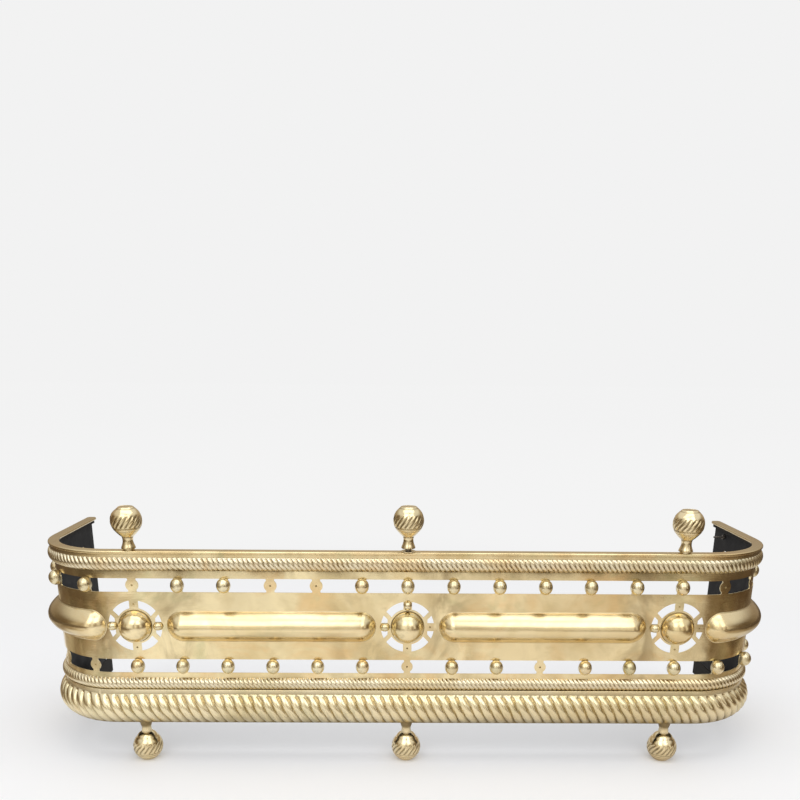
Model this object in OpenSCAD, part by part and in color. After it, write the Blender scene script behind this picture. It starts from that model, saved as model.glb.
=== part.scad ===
// Fire fender: a pierced sheet bent into a U round the hearth, dressed with
// mouldings, bosses, studs and ball finials, standing on ball feet.
// Millimetres. +Z is up and the closed front faces -Y. The origin is on the
// floor, under the middle of the bounding box.
// o is the distance outward from the sheet's outer face; s is the distance
// along that face from the middle of the front.

/* [Plan] */
// Outer face of the sheet at one side to the middle
half_width = 554; // [546:1:640]
// Radius of the rounded corners at the outer face
corner_radius = 109; // [90:1:114]
// Front face of the sheet to its rear ends
depth = 254; // [242:1:320]
// Thickness of the pierced sheet
sheet = 1.6; // [1:0.1:2.4]

/* [Stack of bands] */
// Floor to the underside of the base plate
foot_height = 65; // [58:0.5:90]
// Height of the bulging base moulding
base_bulge_height = 46.8; // [36:0.2:56]
// Height of the plain fillet above the bulge
base_fillet_height = 7.6; // [5:0.1:12]
// Height of the lower rope moulding
lower_rope_height = 18.9; // [14:0.1:24]
// Plain strip between the lower rope and the lower slots
lower_strip = 8.1; // [5:0.1:14]
// Height of the lower row of slots
lower_slot_height = 22; // [20.5:0.1:26]
// Height of the band that carries the bosses and rosettes
band_height = 105.7; // [100:0.1:130]
// Height of the upper row of slots
upper_slot_height = 21; // [20.5:0.1:26]
// Plain strip between the upper slots and the upper rope
upper_strip = 11.6; // [7:0.1:18]
// Height of the upper rope moulding
upper_rope_height = 21.3; // [16:0.1:26]

/* [Mouldings] */
// How far the upper rope stands out from the sheet
upper_rope_proud = 8; // [5:0.1:10]
// How far the lower rope stands out
lower_rope_proud = 7; // [4:0.1:9]
// Wall of both rope mouldings
rope_wall = 1.2; // [0.8:0.1:1.8]
// How far the base fillet stands out
base_fillet_proud = 3; // [2.4:0.1:5]
// How far the bulge stands out past the fillet
base_bulge_proud = 12; // [8:0.1:15]
// Wall of the base moulding
base_wall = 1.5; // [1:0.1:2]

/* [Top rail] */
// Rail past the sheet's outer face
rail_out = 6.5; // [5:0.1:9]
// Rail past the sheet's outer face, inward
rail_in = 10; // [7:0.1:14]
// Height of the rail over its web
rail_height = 9.5; // [8.5:0.1:12]
// Thickness of the rail's cap
rail_cap = 4.4; // [4:0.1:6]
// Rounding along the cap's edges
rail_round = 1.9; // [0.8:0.1:1.9]
// Web under the cap past the sheet's outer face
web_out = 2.5; // [2:0.1:4.5]
// Web under the cap past the sheet's outer face, inward
web_in = 6.5; // [6.3:0.1:8]
// Rail past the rear ends of the sheet
rail_overrun = 7; // [3:0.5:12]

/* [Slots, tabs and studs] */
// Least plain sheet between the last slots and the rear ends
slot_margin = 30; // [20:1:60]
// Radius of the upper tabs
upper_tab_r = 9.5; // [8:0.1:10]
// Width of the necks that hold the upper tabs
upper_neck = 12; // [7:0.1:14]
// Radius of the lower tabs
lower_tab_r = 8.7; // [8:0.1:10]
// Width of the necks that hold the lower tabs
lower_neck = 9.5; // [6:0.1:14]
// Radius of a stud
stud_r = 9.6; // [8:0.1:10]
// Height of a stud's centre above the sheet
stud_lift = 5.8; // [4:0.1:7]
// Radius of the collar under a stud
stud_collar_r = 8.3; // [7:0.1:9]
// Thickness of the collar
stud_collar = 1.2; // [0.8:0.1:2]
// Radius of a stud's shank
shank_r = 1.6; // [1.2:0.1:2]
// Radius of the clenched tail behind the sheet
tail_r = 3; // [2.4:0.1:4]
// Thickness of the clenched tail
tail = 1.2; // [0.8:0.1:2]

/* [Rosettes] */
// Middle of each outer rosette to the start of the corner
rosette_inset = 37; // [33:0.5:60]
// Number of tabs from the middle to an outer rosette
rosette_column = 6; // [5:1:7]
// Radius of the pierced circle
rosette_r = 40; // [37:0.1:41]
// Radius of the solid middle
hub_r = 28; // [27:0.1:29]
// Width of the upper and lower bars
bar_v = 13; // [9:0.1:15]
// Width of the bars at the sides
bar_h = 12.4; // [9:0.1:15]
// Inner edge of the side openings, from the middle
side_chord = 30; // [29:0.1:32]
// Middle of a spoke outward from that edge
spoke_out = 0.7; // [0:0.1:1.5]
// Middle of a spoke above the side bar
spoke_rise = 11.4; // [10:0.1:12.5]
// Width of the slanted spokes
spoke = 6.5; // [4:0.1:7]
// Slant of the spokes from the horizontal
spoke_slant = 47; // [40:1:52]
// Radius of a rosette's dome
dome_r = 25; // [22:0.1:25.5]
// Wall of the dome
dome_wall = 1.2; // [0.8:0.1:2]
// Radius of the flange under the dome
flange_r = 26.8; // [26.2:0.1:27]
// Thickness of the flange
flange = 0.9; // [0.6:0.1:1.4]
// Radius of a rosette stud
bead_r = 7; // [5:0.1:7.4]
// Height of a rosette stud's centre above the sheet
bead_lift = 0.6; // [0.2:0.1:2]
// Space between a rosette stud and the dome's flange
bead_space = 0.2; // [0.1:0.1:1]

/* [Bosses] */
// Half the height of the bosses
boss_half_height = 23; // [19:0.1:26]
// How far the bosses stand out
boss_proud = 17.5; // [12:0.1:18.5]
// Step where a boss's round end meets its bar
boss_seam = 0.3; // [0.1:0.05:0.6]
// Wall of the bosses
boss_wall = 1.2; // [0.8:0.1:2]
// Space from a long boss to the pierced circles beside it
boss_space = 8.5; // [5:0.1:14]
// Space from a corner boss to the outer pierced circle
corner_boss_space = 4.5; // [3:0.1:12]
// Length of a corner boss along the sheet
corner_boss_length = 189.5; // [170:0.5:205]

/* [Finials] */
// Diameter of the finial balls
finial_ball_d = 44.8; // [40:0.1:50]
// Height cut from the top of a finial ball
finial_flat = 2.2; // [1.2:0.1:3]
// Slope of the turned ends of the finial and foot balls from upright
ball_taper = 45; // [38:1:52]
// Wall of the finial balls and of the foot balls
ball_wall = 1.8; // [1.4:0.1:3]
// Finial axis behind the front face
finial_back = 2; // [1:0.1:3]
// Height of a finial stem
stem_height = 17.4; // [14:0.1:26]
// Diameter of the stem at its foot
stem_foot_d = 19; // [17:0.1:22]
// Diameter of the stem at its waist
stem_waist_d = 14.6; // [12:0.1:15]
// Diameter of the stem under the ball
stem_top_d = 16; // [15.2:0.1:20]
// Diameter of the washer under the middle stem
washer_d = 22; // [19:0.1:24]
// Thickness of that washer
washer = 1; // [0.6:0.1:1.6]
// Diameter of the packing rings under the side stems
ring_d = 16.5; // [12:0.1:18]
// Thickness of the packing rings
ring = 2.6; // [1:0.1:4]
// Height of the shoulder between the washer and the middle stem
shoulder = 4.2; // [1:0.1:6]
// Radius of that shoulder
shoulder_r = 4.2; // [3.8:0.1:6]

/* [Feet] */
// Diameter of the foot balls
foot_ball_d = 45.6; // [40:0.1:50]
// Height cut from the bottom of a foot ball
foot_flat = 2.2; // [1.2:0.1:3]
// Foot axis behind the sheet's outer face
foot_back = 8.3; // [8:0.1:14]
// Rear feet from the rear ends of the sheet
rear_foot_inset = 64; // [52:1:90]
// Diameter of a foot's neck at its waist
neck_d = 12.8; // [12:0.1:18]
// Diameter of the neck's top flange
neck_flange_d = 19; // [18:0.1:24]
// Diameter of the neck where it meets the ball
neck_foot_d = 16; // [15:0.1:20]
// Across the flats of the nuts on the base plate
nut_flats = 10; // [9:0.1:12]
// Thickness of those nuts
nut = 5; // [3.5:0.1:7]

/* [Base plate] */
// Thickness of the base plate
plate = 2.5; // [1.5:0.1:3.5]
// Inner edge of the plate from the sheet's outer face
plate_in = 26.5; // [20:0.1:34]
// Thickness of the plate's upturned lip
lip = 2; // [1.4:0.1:2.6]
// Height of the lip above the plate
lip_height = 21; // [10:0.5:28]
// Rear ends of the plate short of the sheet's rear ends
plate_short = 38; // [20:0.5:44]

/* [Rods and bolts] */
// Radius of the rods in the finials and feet
rod_r = 3; // [2.4:0.1:3.4]
// Radial clearance round rods, shanks and bolts
clear = 0.15; // [0.08:0.01:0.3]
// How deep a finial rod screws into the rail
rod_bite = 7.5; // [5:0.1:8]
// Radius of the bosses inside the balls
core_r = 6; // [4.6:0.1:8]
// Depth of those bosses
core_depth = 8; // [6:0.1:12]
// Length of the end bolt inside the sheet
end_bolt_length = 18; // [10:0.5:24]
// Radius of the end bolt
end_bolt_r = 1.6; // [1.2:0.1:2.2]
// Radius of the end bolt's head
end_head_r = 4; // [3:0.1:5]
// Thickness of the end bolt's head
end_head = 1.5; // [1:0.1:2.4]
// Across the flats of the end bolt's nut
end_nut_flats = 7.5; // [6:0.1:10]
// Thickness of the end bolt's nut
end_nut = 3; // [2:0.1:4]
// End bolt from the sheet's right rear end
end_bolt_inset = 40; // [20:1:60]

/* [Hidden] */
$fn = 96;

// columns whose stud is lost, leaving the bare tab
upper_lost = [-6, -3, -2, 7, 8];
lower_lost = [-9, -8, -7, 0, 3];

// heights
plate_top = foot_height + plate;
bulge_top = foot_height + base_bulge_height;
fillet_top = bulge_top + base_fillet_height;
lower_rope_top = fillet_top + lower_rope_height;
lower_slot_low = lower_rope_top + lower_strip;
lower_slot_top = lower_slot_low + lower_slot_height;
upper_slot_low = lower_slot_top + band_height;
upper_slot_top = upper_slot_low + upper_slot_height;
upper_rope_low = upper_slot_top + upper_strip;
sheet_top = upper_rope_low + upper_rope_height;
rail_top = sheet_top + rail_height;
band_mid = (lower_slot_top + upper_slot_low) / 2;
upper_slot_mid = (upper_slot_low + upper_slot_top) / 2;
lower_slot_mid = (lower_slot_low + lower_slot_top) / 2;

// plan: s at the start and end of the corner, and at the rear end
corner_from = half_width - corner_radius;
corner_length = corner_radius * PI / 2;
corner_to = corner_from + corner_length;
rear_end = corner_to + depth - corner_radius;
rosette_s = corner_from - rosette_inset;
pitch = rosette_s / rosette_column;
columns = floor((rear_end - slot_margin) / pitch - 0.5);
slot_end = (columns + 0.5) * pitch;
y_mid = (depth + rail_overrun - dome_r) / 2;

// radius and setback of a segment of given half height and rise
function seg_r(half, rise) = (half * half + rise * rise) / (2 * rise);

boss_r = seg_r(boss_half_height, boss_proud);
boss_set = boss_r - boss_proud;
long_boss_from = rosette_r + boss_space + boss_half_height;
long_boss_to = rosette_s - rosette_r - boss_space - boss_half_height;
corner_boss_from = rosette_s + rosette_r + corner_boss_space + boss_half_height;
corner_boss_to = corner_boss_from - 2 * boss_half_height + corner_boss_length;

finial_r = finial_ball_d / 2;
finial_low = ball_reach(finial_r, stem_top_d / 2);
foot_r = foot_ball_d / 2;
foot_mid = foot_r - foot_flat;
neck_low = foot_mid + ball_reach(foot_r, neck_foot_d / 2);
rear_foot_s = rear_end - rear_foot_inset;
end_bolt_s = rear_end - end_bolt_inset;
end_bolt_z = upper_rope_low + upper_rope_height / 2;
eps = 0.01;

// from a ball's middle to where its turned end has narrowed to radius r
function ball_reach(ball_r, r) =
    ball_r * sin(ball_taper) + (ball_r * cos(ball_taper) - r) / tan(ball_taper);

// foot, top and ball's middle of the stem at x: the middle one stands on a
// washer and a shoulder, the side ones on packing rings
function stem_low(x) = rail_top + (x == 0 ? washer + shoulder : ring);
function stem_top(x) = stem_low(x) + stem_height;
function finial_mid(x) = stem_top(x) + finial_low;

// everything is drawn with the front face at Y = 0 and then moved back
module seat() {
    translate([0, -y_mid, 0]) children();
}

// both sides of the middle plane
module both() {
    children();
    mirror([1, 0, 0]) children();
}

// how far round the corner s lies, in degrees
function corner_angle(s) =
    s <= corner_from ? 0 : s >= corner_to ? 90 : (s - corner_from) / corner_length * 90;

// a section, x outward and y up, swept along the right half from s0 to s1
module run(s0, s1) {
    f0 = min(s0, corner_from);
    f1 = min(s1, corner_from);
    c0 = corner_angle(s0);
    c1 = corner_angle(s1);
    r0 = max(s0, corner_to) - corner_to;
    r1 = max(s1, corner_to) - corner_to;
    if (f1 > f0 + eps)
        translate([f0, 0, 0])
            rotate([90, 0, 90])
                linear_extrude(f1 - f0) mirror([1, 0, 0]) children();
    if (c1 > c0 + eps)
        translate([corner_from, corner_radius, 0])
            rotate([0, 0, c1 - 90]) mirror([0, 1, 0])
                rotate_extrude(angle = c1 - c0) translate([corner_radius, 0]) children();
    if (r1 > r0 + eps)
        translate([half_width, corner_radius + r0, 0])
            mirror([0, 1, 0]) rotate([90, 0, 0])
                linear_extrude(r1 - r0) children();
}

// the same section swept round the whole U, up to s1 on each side
module round_u(s1) {
    both() run(0, s1) children();
}

// children drawn at the middle of the front, moved to s on the right half
module at(s) {
    if (s <= corner_from)
        translate([s, 0, 0]) children();
    else if (s <= corner_to)
        translate([corner_from, corner_radius, 0])
            rotate([0, 0, (s - corner_from) / corner_length * 90])
                translate([0, -corner_radius, 0]) children();
    else
        translate([half_width, corner_radius + s - corner_to, 0])
            rotate([0, 0, 90]) children();
}

// the same for a signed column number
module at_column(k) {
    if (k < 0)
        mirror([1, 0, 0]) at(-k * pitch) children();
    else
        at(k * pitch) children();
}

// the space inside the sheet's outer face, right half
module inside(z0, z1) {
    translate([-1, 0, z0]) cube([corner_from + 1, depth, z1 - z0]);
    translate([-1, corner_radius, z0]) cube([half_width + 1, depth, z1 - z0]);
    translate([corner_from, corner_radius, z0]) cylinder(r = corner_radius, h = z1 - z0, $fn = 192);
}

module wall_section(z0, z1) {
    translate([-sheet, z0]) square([sheet, z1 - z0]);
}

// a tab with its necks, standing through the sheet
module tab(r, neck, z0, z1) {
    translate([0, sheet * 3, (z0 + z1) / 2]) rotate([90, 0, 0]) cylinder(r = r, h = sheet * 4);
    translate([-neck / 2, -sheet, z0 - 1]) cube([neck, sheet * 4, z1 - z0 + 2]);
}

module tab_row(r, neck, z0, z1) {
    intersection() {
        round_u(slot_end + pitch / 4) wall_section(z0 - 1, z1 + 1);
        for (k = [-columns:columns]) at_column(k) tab(r, neck, z0, z1);
    }
}

module shank_holes(z) {
    for (k = [-columns:columns])
        at_column(k)
            translate([0, sheet * 3, z]) rotate([90, 0, 0]) cylinder(r = shank_r + clear, h = sheet * 4, $fn = 32);
}

// one quarter of the openings in a rosette, drawn flat, x right and y up
module rosette_quarter() {
    nx = -sin(spoke_slant);
    ny = cos(spoke_slant);
    px = side_chord + spoke_out;
    py = bar_h / 2 + spoke_rise;
    far = rosette_r * 2;
    intersection() {
        difference() {
            circle(r = rosette_r);
            circle(r = hub_r);
        }
        translate([bar_v / 2, 0]) square([rosette_r, rosette_r]);
        translate([px + nx * spoke / 2, py + ny * spoke / 2])
            rotate([0, 0, spoke_slant])
                translate([-far, 0]) square([far * 2, far]);
    }
    intersection() {
        circle(r = rosette_r);
        translate([side_chord, bar_h / 2]) square([rosette_r, rosette_r]);
        translate([px - nx * spoke / 2, py - ny * spoke / 2])
            rotate([0, 0, spoke_slant])
                translate([-far, -far]) square([far * 2, far]);
    }
}

module rosette_cut() {
    for (a = [0, 1], b = [0, 1])
        mirror([a, 0, 0]) mirror([0, b, 0]) rosette_quarter();
}

// the places of the four studs of a rosette: 0 right, 1 top, 2 left, 3 bottom
module rosette_stud_at(i) {
    rotate([0, 0, i * 90]) translate([flange_r + bead_space + bead_r, 0, 0]) children();
}

module frieze_sheet() {
    color("goldenrod") seat() difference() {
        union() {
            round_u(rear_end) wall_section(plate_top, lower_slot_low);
            round_u(rear_end) wall_section(lower_slot_top, upper_slot_low);
            round_u(rear_end) wall_section(upper_slot_top, sheet_top);
            both() run(slot_end, rear_end) wall_section(plate_top, sheet_top);
            both() run(rear_end - plate_short, rear_end) wall_section(foot_height, plate_top + 1);
            tab_row(upper_tab_r, upper_neck, upper_slot_low, upper_slot_top);
            tab_row(lower_tab_r, lower_neck, lower_slot_low, lower_slot_top);
        }
        shank_holes(upper_slot_mid);
        shank_holes(lower_slot_mid);
        for (x = [-rosette_s, 0, rosette_s])
            translate([x, sheet * 3, band_mid]) rotate([90, 0, 0]) {
                linear_extrude(sheet * 5) rosette_cut();
                for (i = [0:3])
                    rosette_stud_at(i) cylinder(r = shank_r + clear, h = sheet * 5, $fn = 32);
            }
        at(end_bolt_s)
            translate([0, sheet * 3, end_bolt_z])
                rotate([90, 0, 0]) cylinder(r = end_bolt_r + clear, h = sheet * 4, $fn = 32);
    }
}

// the section of the rail's cap, with rounded edges
module cap_section() {
    w = rail_out + rail_in;
    translate([-rail_in, rail_top - rail_cap]) {
        translate([0, rail_round]) square([w, rail_cap - 2 * rail_round]);
        translate([rail_round, 0]) square([w - 2 * rail_round, rail_cap]);
        for (x = [rail_round, w - rail_round], y = [rail_round, rail_cap - rail_round])
            translate([x, y]) circle(r = rail_round);
    }
}

module rail_end() {
    half = (rail_out + rail_in) / 2;
    translate([half_width + rail_out - half, depth + rail_overrun - half, 0])
        rotate_extrude(angle = 180)
            intersection() {
                translate([rail_in - half, 0]) cap_section();
                translate([0, sheet_top - 1]) square([half + 1, rail_height + 2]);
            }
}

module top_rail() {
    half = (rail_out + rail_in) / 2;
    color("gold") seat() difference() {
        union() {
            round_u(rear_end + rail_overrun - half) cap_section();
            both() rail_end();
            round_u(rear_end) translate([-web_in, sheet_top])
                square([web_in + web_out, rail_height - rail_cap / 2]);
        }
        for (x = [-rosette_s, 0, rosette_s])
            translate([x, finial_back, rail_top - rod_bite])
                cylinder(r = rod_r + clear, h = rod_bite + 1);
    }
}

// a hollow half-round moulding with closed ends
module half_round(low, height, proud, wall) {
    r = seg_r(height / 2, proud);
    difference() {
        round_u(rear_end) intersection() {
            translate([proud - r, low + height / 2]) circle(r = r);
            translate([0, low]) square([r * 2, height]);
        }
        round_u(rear_end - wall) intersection() {
            translate([proud - r, low + height / 2]) circle(r = r - wall);
            translate([-1, low]) square([r * 2, height]);
        }
    }
}

module upper_rope() {
    color("khaki") seat() half_round(upper_rope_low, upper_rope_height, upper_rope_proud, rope_wall);
}

module lower_rope() {
    color("khaki") seat() half_round(fillet_top, lower_rope_height, lower_rope_proud, rope_wall);
}

module base_outer() {
    r = seg_r(base_bulge_height / 2, base_bulge_proud);
    intersection() {
        translate([base_fillet_proud + base_bulge_proud - r, foot_height + base_bulge_height / 2]) circle(r = r);
        translate([base_fillet_proud - eps, foot_height]) square([r * 2, base_bulge_height]);
    }
    translate([0, foot_height]) square([base_fillet_proud, fillet_top - foot_height]);
}

module base_inner() {
    r = seg_r(base_bulge_height / 2, base_bulge_proud);
    g = base_fillet_proud - base_wall;
    intersection() {
        translate([base_fillet_proud + base_bulge_proud - r, foot_height + base_bulge_height / 2])
            circle(r = r - base_wall);
        translate([g, foot_height]) square([r * 2, base_bulge_height]);
    }
    translate([-1, foot_height - 1]) square([g + 1, fillet_top - foot_height + 1 - base_wall]);
}

module base_moulding() {
    color("darkgoldenrod") seat() difference() {
        round_u(rear_end) base_outer();
        round_u(rear_end - base_wall) base_inner();
        both() run(rear_end - base_wall - 1, rear_end + 1)
            translate([-1, foot_height - 1]) square([base_fillet_proud - base_wall + 1, plate + 1]);
    }
}

// s of each foot, and the sides that it stands on
module front_feet() {
    for (x = [-rosette_s, 0, rosette_s]) translate([x, foot_back, 0]) children();
}

module rear_feet() {
    both() at(rear_foot_s) translate([0, foot_back, 0]) children();
}

module base_plate() {
    reach = base_fillet_proud - base_wall;
    color("dimgray") seat() difference() {
        union() {
            round_u(rear_end - plate_short) translate([-plate_in, foot_height]) square([plate_in + reach, plate]);
            round_u(rear_end - plate_short) translate([-plate_in, foot_height]) square([lip, plate + lip_height]);
        }
        front_feet() translate([0, 0, foot_height - 1]) cylinder(r = rod_r + clear, h = plate + 2);
        rear_feet() translate([0, 0, foot_height - 1]) cylinder(r = rod_r + clear, h = plate + 2);
    }
}

// a hollow boss along the right half, from the centre of one round end to the other
module boss(s0, s1) {
    difference() {
        boss_body(s0, s1, boss_r);
        boss_body(s0, s1, boss_r - boss_wall);
        inside(band_mid - boss_r - 2, band_mid + boss_r + 2);
    }
}

// a round bar with ball ends, which are a little smaller and show as a seam
module boss_body(s0, s1, r) {
    run(s0, s1) intersection() {
        translate([-boss_set, band_mid]) circle(r = r);
        translate([-1, band_mid - boss_r]) square([boss_r, boss_r * 2]);
    }
    at(s0) translate([0, boss_set, band_mid]) sphere(r = r - boss_seam);
    at(s1) translate([0, boss_set, band_mid]) sphere(r = r - boss_seam);
}

module long_boss_right() {
    color("wheat") seat() boss(long_boss_from, long_boss_to);
}

module long_boss_left() {
    color("wheat") seat() mirror([1, 0, 0]) boss(long_boss_from, long_boss_to);
}

module corner_boss_right() {
    color("tan") seat() boss(corner_boss_from, corner_boss_to);
}

module corner_boss_left() {
    color("tan") seat() mirror([1, 0, 0]) boss(corner_boss_from, corner_boss_to);
}

// a hollow dome on its flange, drawn with +Z outward
module dome() {
    difference() {
        union() {
            sphere(r = dome_r);
            cylinder(r = flange_r, h = flange);
        }
        sphere(r = dome_r - dome_wall);
        translate([0, 0, -dome_r - 1]) cylinder(r = dome_r + 3, h = dome_r + 1);
    }
}

module dome_at(x) {
    color("moccasin") seat() translate([x, 0, band_mid]) rotate([90, 0, 0]) dome();
}

module rosette_dome_left() {
    dome_at(-rosette_s);
}

module rosette_dome_centre() {
    dome_at(0);
}

module rosette_dome_right() {
    dome_at(rosette_s);
}

// the shank and the clenched tail that hold a stud, drawn with +Z outward
module fixing() {
    translate([0, 0, -sheet - clear]) cylinder(r = shank_r, h = sheet + clear + 1);
    translate([0, 0, -sheet - clear - tail]) cylinder(r = tail_r, h = tail);
}

module stud() {
    intersection() {
        translate([0, 0, stud_lift]) sphere(r = stud_r);
        cylinder(r = stud_r + 1, h = stud_lift + stud_r + 1);
    }
    cylinder(r = stud_collar_r, h = stud_collar);
    fixing();
}

module stud_row(z, lost) {
    for (k = [-columns:columns])
        if (len(search(k, lost)) == 0)
            at_column(k) translate([0, 0, z]) rotate([90, 0, 0]) stud();
}

module studs_upper() {
    color("lightyellow") seat() stud_row(upper_slot_mid, upper_lost);
}

module studs_lower() {
    color("lightyellow") seat() stud_row(lower_slot_mid, lower_lost);
}

// a small domed stud, drawn with +Z outward
module bead() {
    intersection() {
        translate([0, 0, bead_lift]) sphere(r = bead_r);
        cylinder(r = bead_r + 1, h = bead_lift + bead_r + 1);
    }
    fixing();
}

// the rosette studs that are left
module studs_rosette() {
    color("lightyellow") seat() {
        rosette_beads(-rosette_s, [0, 2]);
        rosette_beads(0, [1, 2]);
        rosette_beads(rosette_s, [2]);
    }
}

module rosette_beads(x, kept) {
    translate([x, 0, band_mid]) rotate([90, 0, 0])
        for (i = kept) rosette_stud_at(i) bead();
}

// a ball with turned ends, drawn round its middle: narrow end down to the neck
// radius r, flat end up
module turned_ball(ball_r, flat, r) {
    ct = ball_r * cos(ball_taper);
    st = ball_r * sin(ball_taper);
    low = ball_reach(ball_r, r);
    high = ball_r - flat;
    rotate_extrude() intersection() {
        union() {
            circle(r = ball_r);
            polygon([
                [0, -low], [r, -low], [ct, -st], [ct, st],
                [ct - (high - st) * tan(ball_taper), high], [0, high]
            ]);
        }
        translate([0, -low]) square([ball_r + 1, low + high]);
    }
}

// a finial ball round its axis, with the boss that takes the rod inside its top
module finial_ball_at(x) {
    high = finial_r - finial_flat;
    color("gold") seat() translate([x, finial_back, finial_mid(x)]) difference() {
        turned_ball(finial_r, finial_flat, stem_top_d / 2);
        difference() {
            sphere(r = finial_r - ball_wall - finial_flat);
            translate([0, 0, high - core_depth]) cylinder(r = core_r, h = core_depth);
        }
        translate([0, 0, -finial_low - 1]) cylinder(r = rod_r + clear, h = finial_low + high - 2 + 1);
    }
}

module finial_ball_left() {
    finial_ball_at(-rosette_s);
}

module finial_ball_centre() {
    finial_ball_at(0);
}

module finial_ball_right() {
    finial_ball_at(rosette_s);
}

// a turned stem: foot disc, waist and top, as one revolved outline
module stem(low, top, foot_d, waist_d, top_d) {
    h = top - low;
    rotate_extrude()
        translate([0, low])
            polygon([
                [rod_r + clear, 0], [foot_d / 2, 0], [foot_d / 2, h * 0.12],
                [waist_d / 2 + (foot_d - waist_d) * 0.2, h * 0.3],
                [waist_d / 2, h * 0.55], [waist_d / 2, h * 0.72],
                [top_d / 2, h * 0.94], [top_d / 2, h], [rod_r + clear, h]
            ]);
}

module finial_stem_at(x) {
    color("goldenrod") seat() translate([x, finial_back, 0])
        stem(stem_low(x), stem_top(x), stem_foot_d, stem_waist_d, stem_top_d);
}

module finial_stem_left() {
    finial_stem_at(-rosette_s);
}

module finial_stem_centre() {
    finial_stem_at(0);
}

module finial_stem_right() {
    finial_stem_at(rosette_s);
}

// the washer under the middle stem and the packing rings under the side ones
module finial_washers() {
    color("tan") seat()
        for (x = [-rosette_s, 0, rosette_s]) {
            d = x == 0 ? washer_d : ring_d;
            h = x == 0 ? washer : ring;
            translate([x, finial_back, rail_top]) difference() {
                cylinder(r = d / 2, h = h);
                translate([0, 0, -1]) cylinder(r = rod_r + clear, h = h + 2);
            }
        }
}

// rods from the rail up into the balls, the middle one with its shoulder
module finial_rods() {
    color("gray") seat() {
        for (x = [-rosette_s, 0, rosette_s])
            translate([x, finial_back, rail_top - rod_bite])
                cylinder(r = rod_r, h = rod_bite - rail_top + finial_mid(x) + finial_r - finial_flat - 2);
        translate([0, finial_back, rail_top + washer]) cylinder(r = shoulder_r, h = shoulder);
    }
}

// a foot ball, with the boss that takes the rod inside its bottom
module foot_ball() {
    color("gold") difference() {
        translate([0, 0, foot_mid]) mirror([0, 0, 1]) turned_ball(foot_r, foot_flat, neck_foot_d / 2);
        difference() {
            translate([0, 0, foot_mid]) sphere(r = foot_r - ball_wall - foot_flat);
            cylinder(r = core_r, h = core_depth);
        }
        translate([0, 0, 2]) cylinder(r = rod_r + clear, h = neck_low);
    }
}

module foot_neck() {
    color("goldenrod") stem(neck_low, foot_height, neck_foot_d, neck_d, neck_flange_d);
}

module front_foot(x) {
    seat() translate([x, foot_back, 0]) children();
}

module rear_foot_right() {
    seat() at(rear_foot_s) translate([0, foot_back, 0]) children();
}

module rear_foot_left() {
    seat() mirror([1, 0, 0]) at(rear_foot_s) translate([0, foot_back, 0]) children();
}

module foot_ball_front_left() {
    front_foot(-rosette_s) foot_ball();
}

module foot_ball_front_centre() {
    front_foot(0) foot_ball();
}

module foot_ball_front_right() {
    front_foot(rosette_s) foot_ball();
}

module foot_ball_rear_left() {
    rear_foot_left() foot_ball();
}

module foot_ball_rear_right() {
    rear_foot_right() foot_ball();
}

module foot_neck_front_left() {
    front_foot(-rosette_s) foot_neck();
}

module foot_neck_front_centre() {
    front_foot(0) foot_neck();
}

module foot_neck_front_right() {
    front_foot(rosette_s) foot_neck();
}

module foot_neck_rear_left() {
    rear_foot_left() foot_neck();
}

module foot_neck_rear_right() {
    rear_foot_right() foot_neck();
}

module foot_rod() {
    translate([0, 0, 2]) cylinder(r = rod_r, h = plate_top + nut + 2 - 2);
}

module foot_rods() {
    color("gray") seat() {
        front_feet() foot_rod();
        rear_feet() foot_rod();
    }
}

// a hexagonal nut, drawn with +Z along its bore
module hex_nut(flats, height, bore) {
    difference() {
        cylinder(r = flats / sqrt(3), h = height, $fn = 6);
        translate([0, 0, -1]) cylinder(r = bore, h = height + 2, $fn = 48);
    }
}

module foot_nuts() {
    color("silver") seat() {
        front_feet() translate([0, 0, plate_top]) hex_nut(nut_flats, nut, rod_r + clear);
        rear_feet() translate([0, 0, plate_top]) hex_nut(nut_flats, nut, rod_r + clear);
    }
}

module end_bolt() {
    color("gray") seat() at(end_bolt_s) translate([0, 0, end_bolt_z]) rotate([90, 0, 0]) {
        cylinder(r = end_head_r, h = end_head);
        translate([0, 0, -sheet - end_bolt_length]) cylinder(r = end_bolt_r, h = sheet + end_bolt_length + 0.5);
    }
}

module end_nut() {
    color("silver") seat() at(end_bolt_s)
        translate([0, 0, end_bolt_z]) rotate([90, 0, 0])
            translate([0, 0, -sheet - end_nut]) hex_nut(end_nut_flats, end_nut, end_bolt_r + clear);
}

frieze_sheet();
top_rail();
upper_rope();
lower_rope();
base_moulding();
base_plate();
long_boss_left();
long_boss_right();
corner_boss_left();
corner_boss_right();
rosette_dome_left();
rosette_dome_centre();
rosette_dome_right();
studs_upper();
studs_lower();
studs_rosette();
finial_ball_left();
finial_ball_centre();
finial_ball_right();
finial_stem_left();
finial_stem_centre();
finial_stem_right();
finial_washers();
finial_rods();
foot_ball_front_left();
foot_ball_front_centre();
foot_ball_front_right();
foot_ball_rear_left();
foot_ball_rear_right();
foot_neck_front_left();
foot_neck_front_centre();
foot_neck_front_right();
foot_neck_rear_left();
foot_neck_rear_right();
foot_rods();
foot_nuts();
end_bolt();
end_nut();
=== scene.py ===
import math
import random
import bmesh
import bpy
from mathutils import Matrix, Vector, noise
from mathutils.geometry import delaunay_2d_cdt


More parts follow.
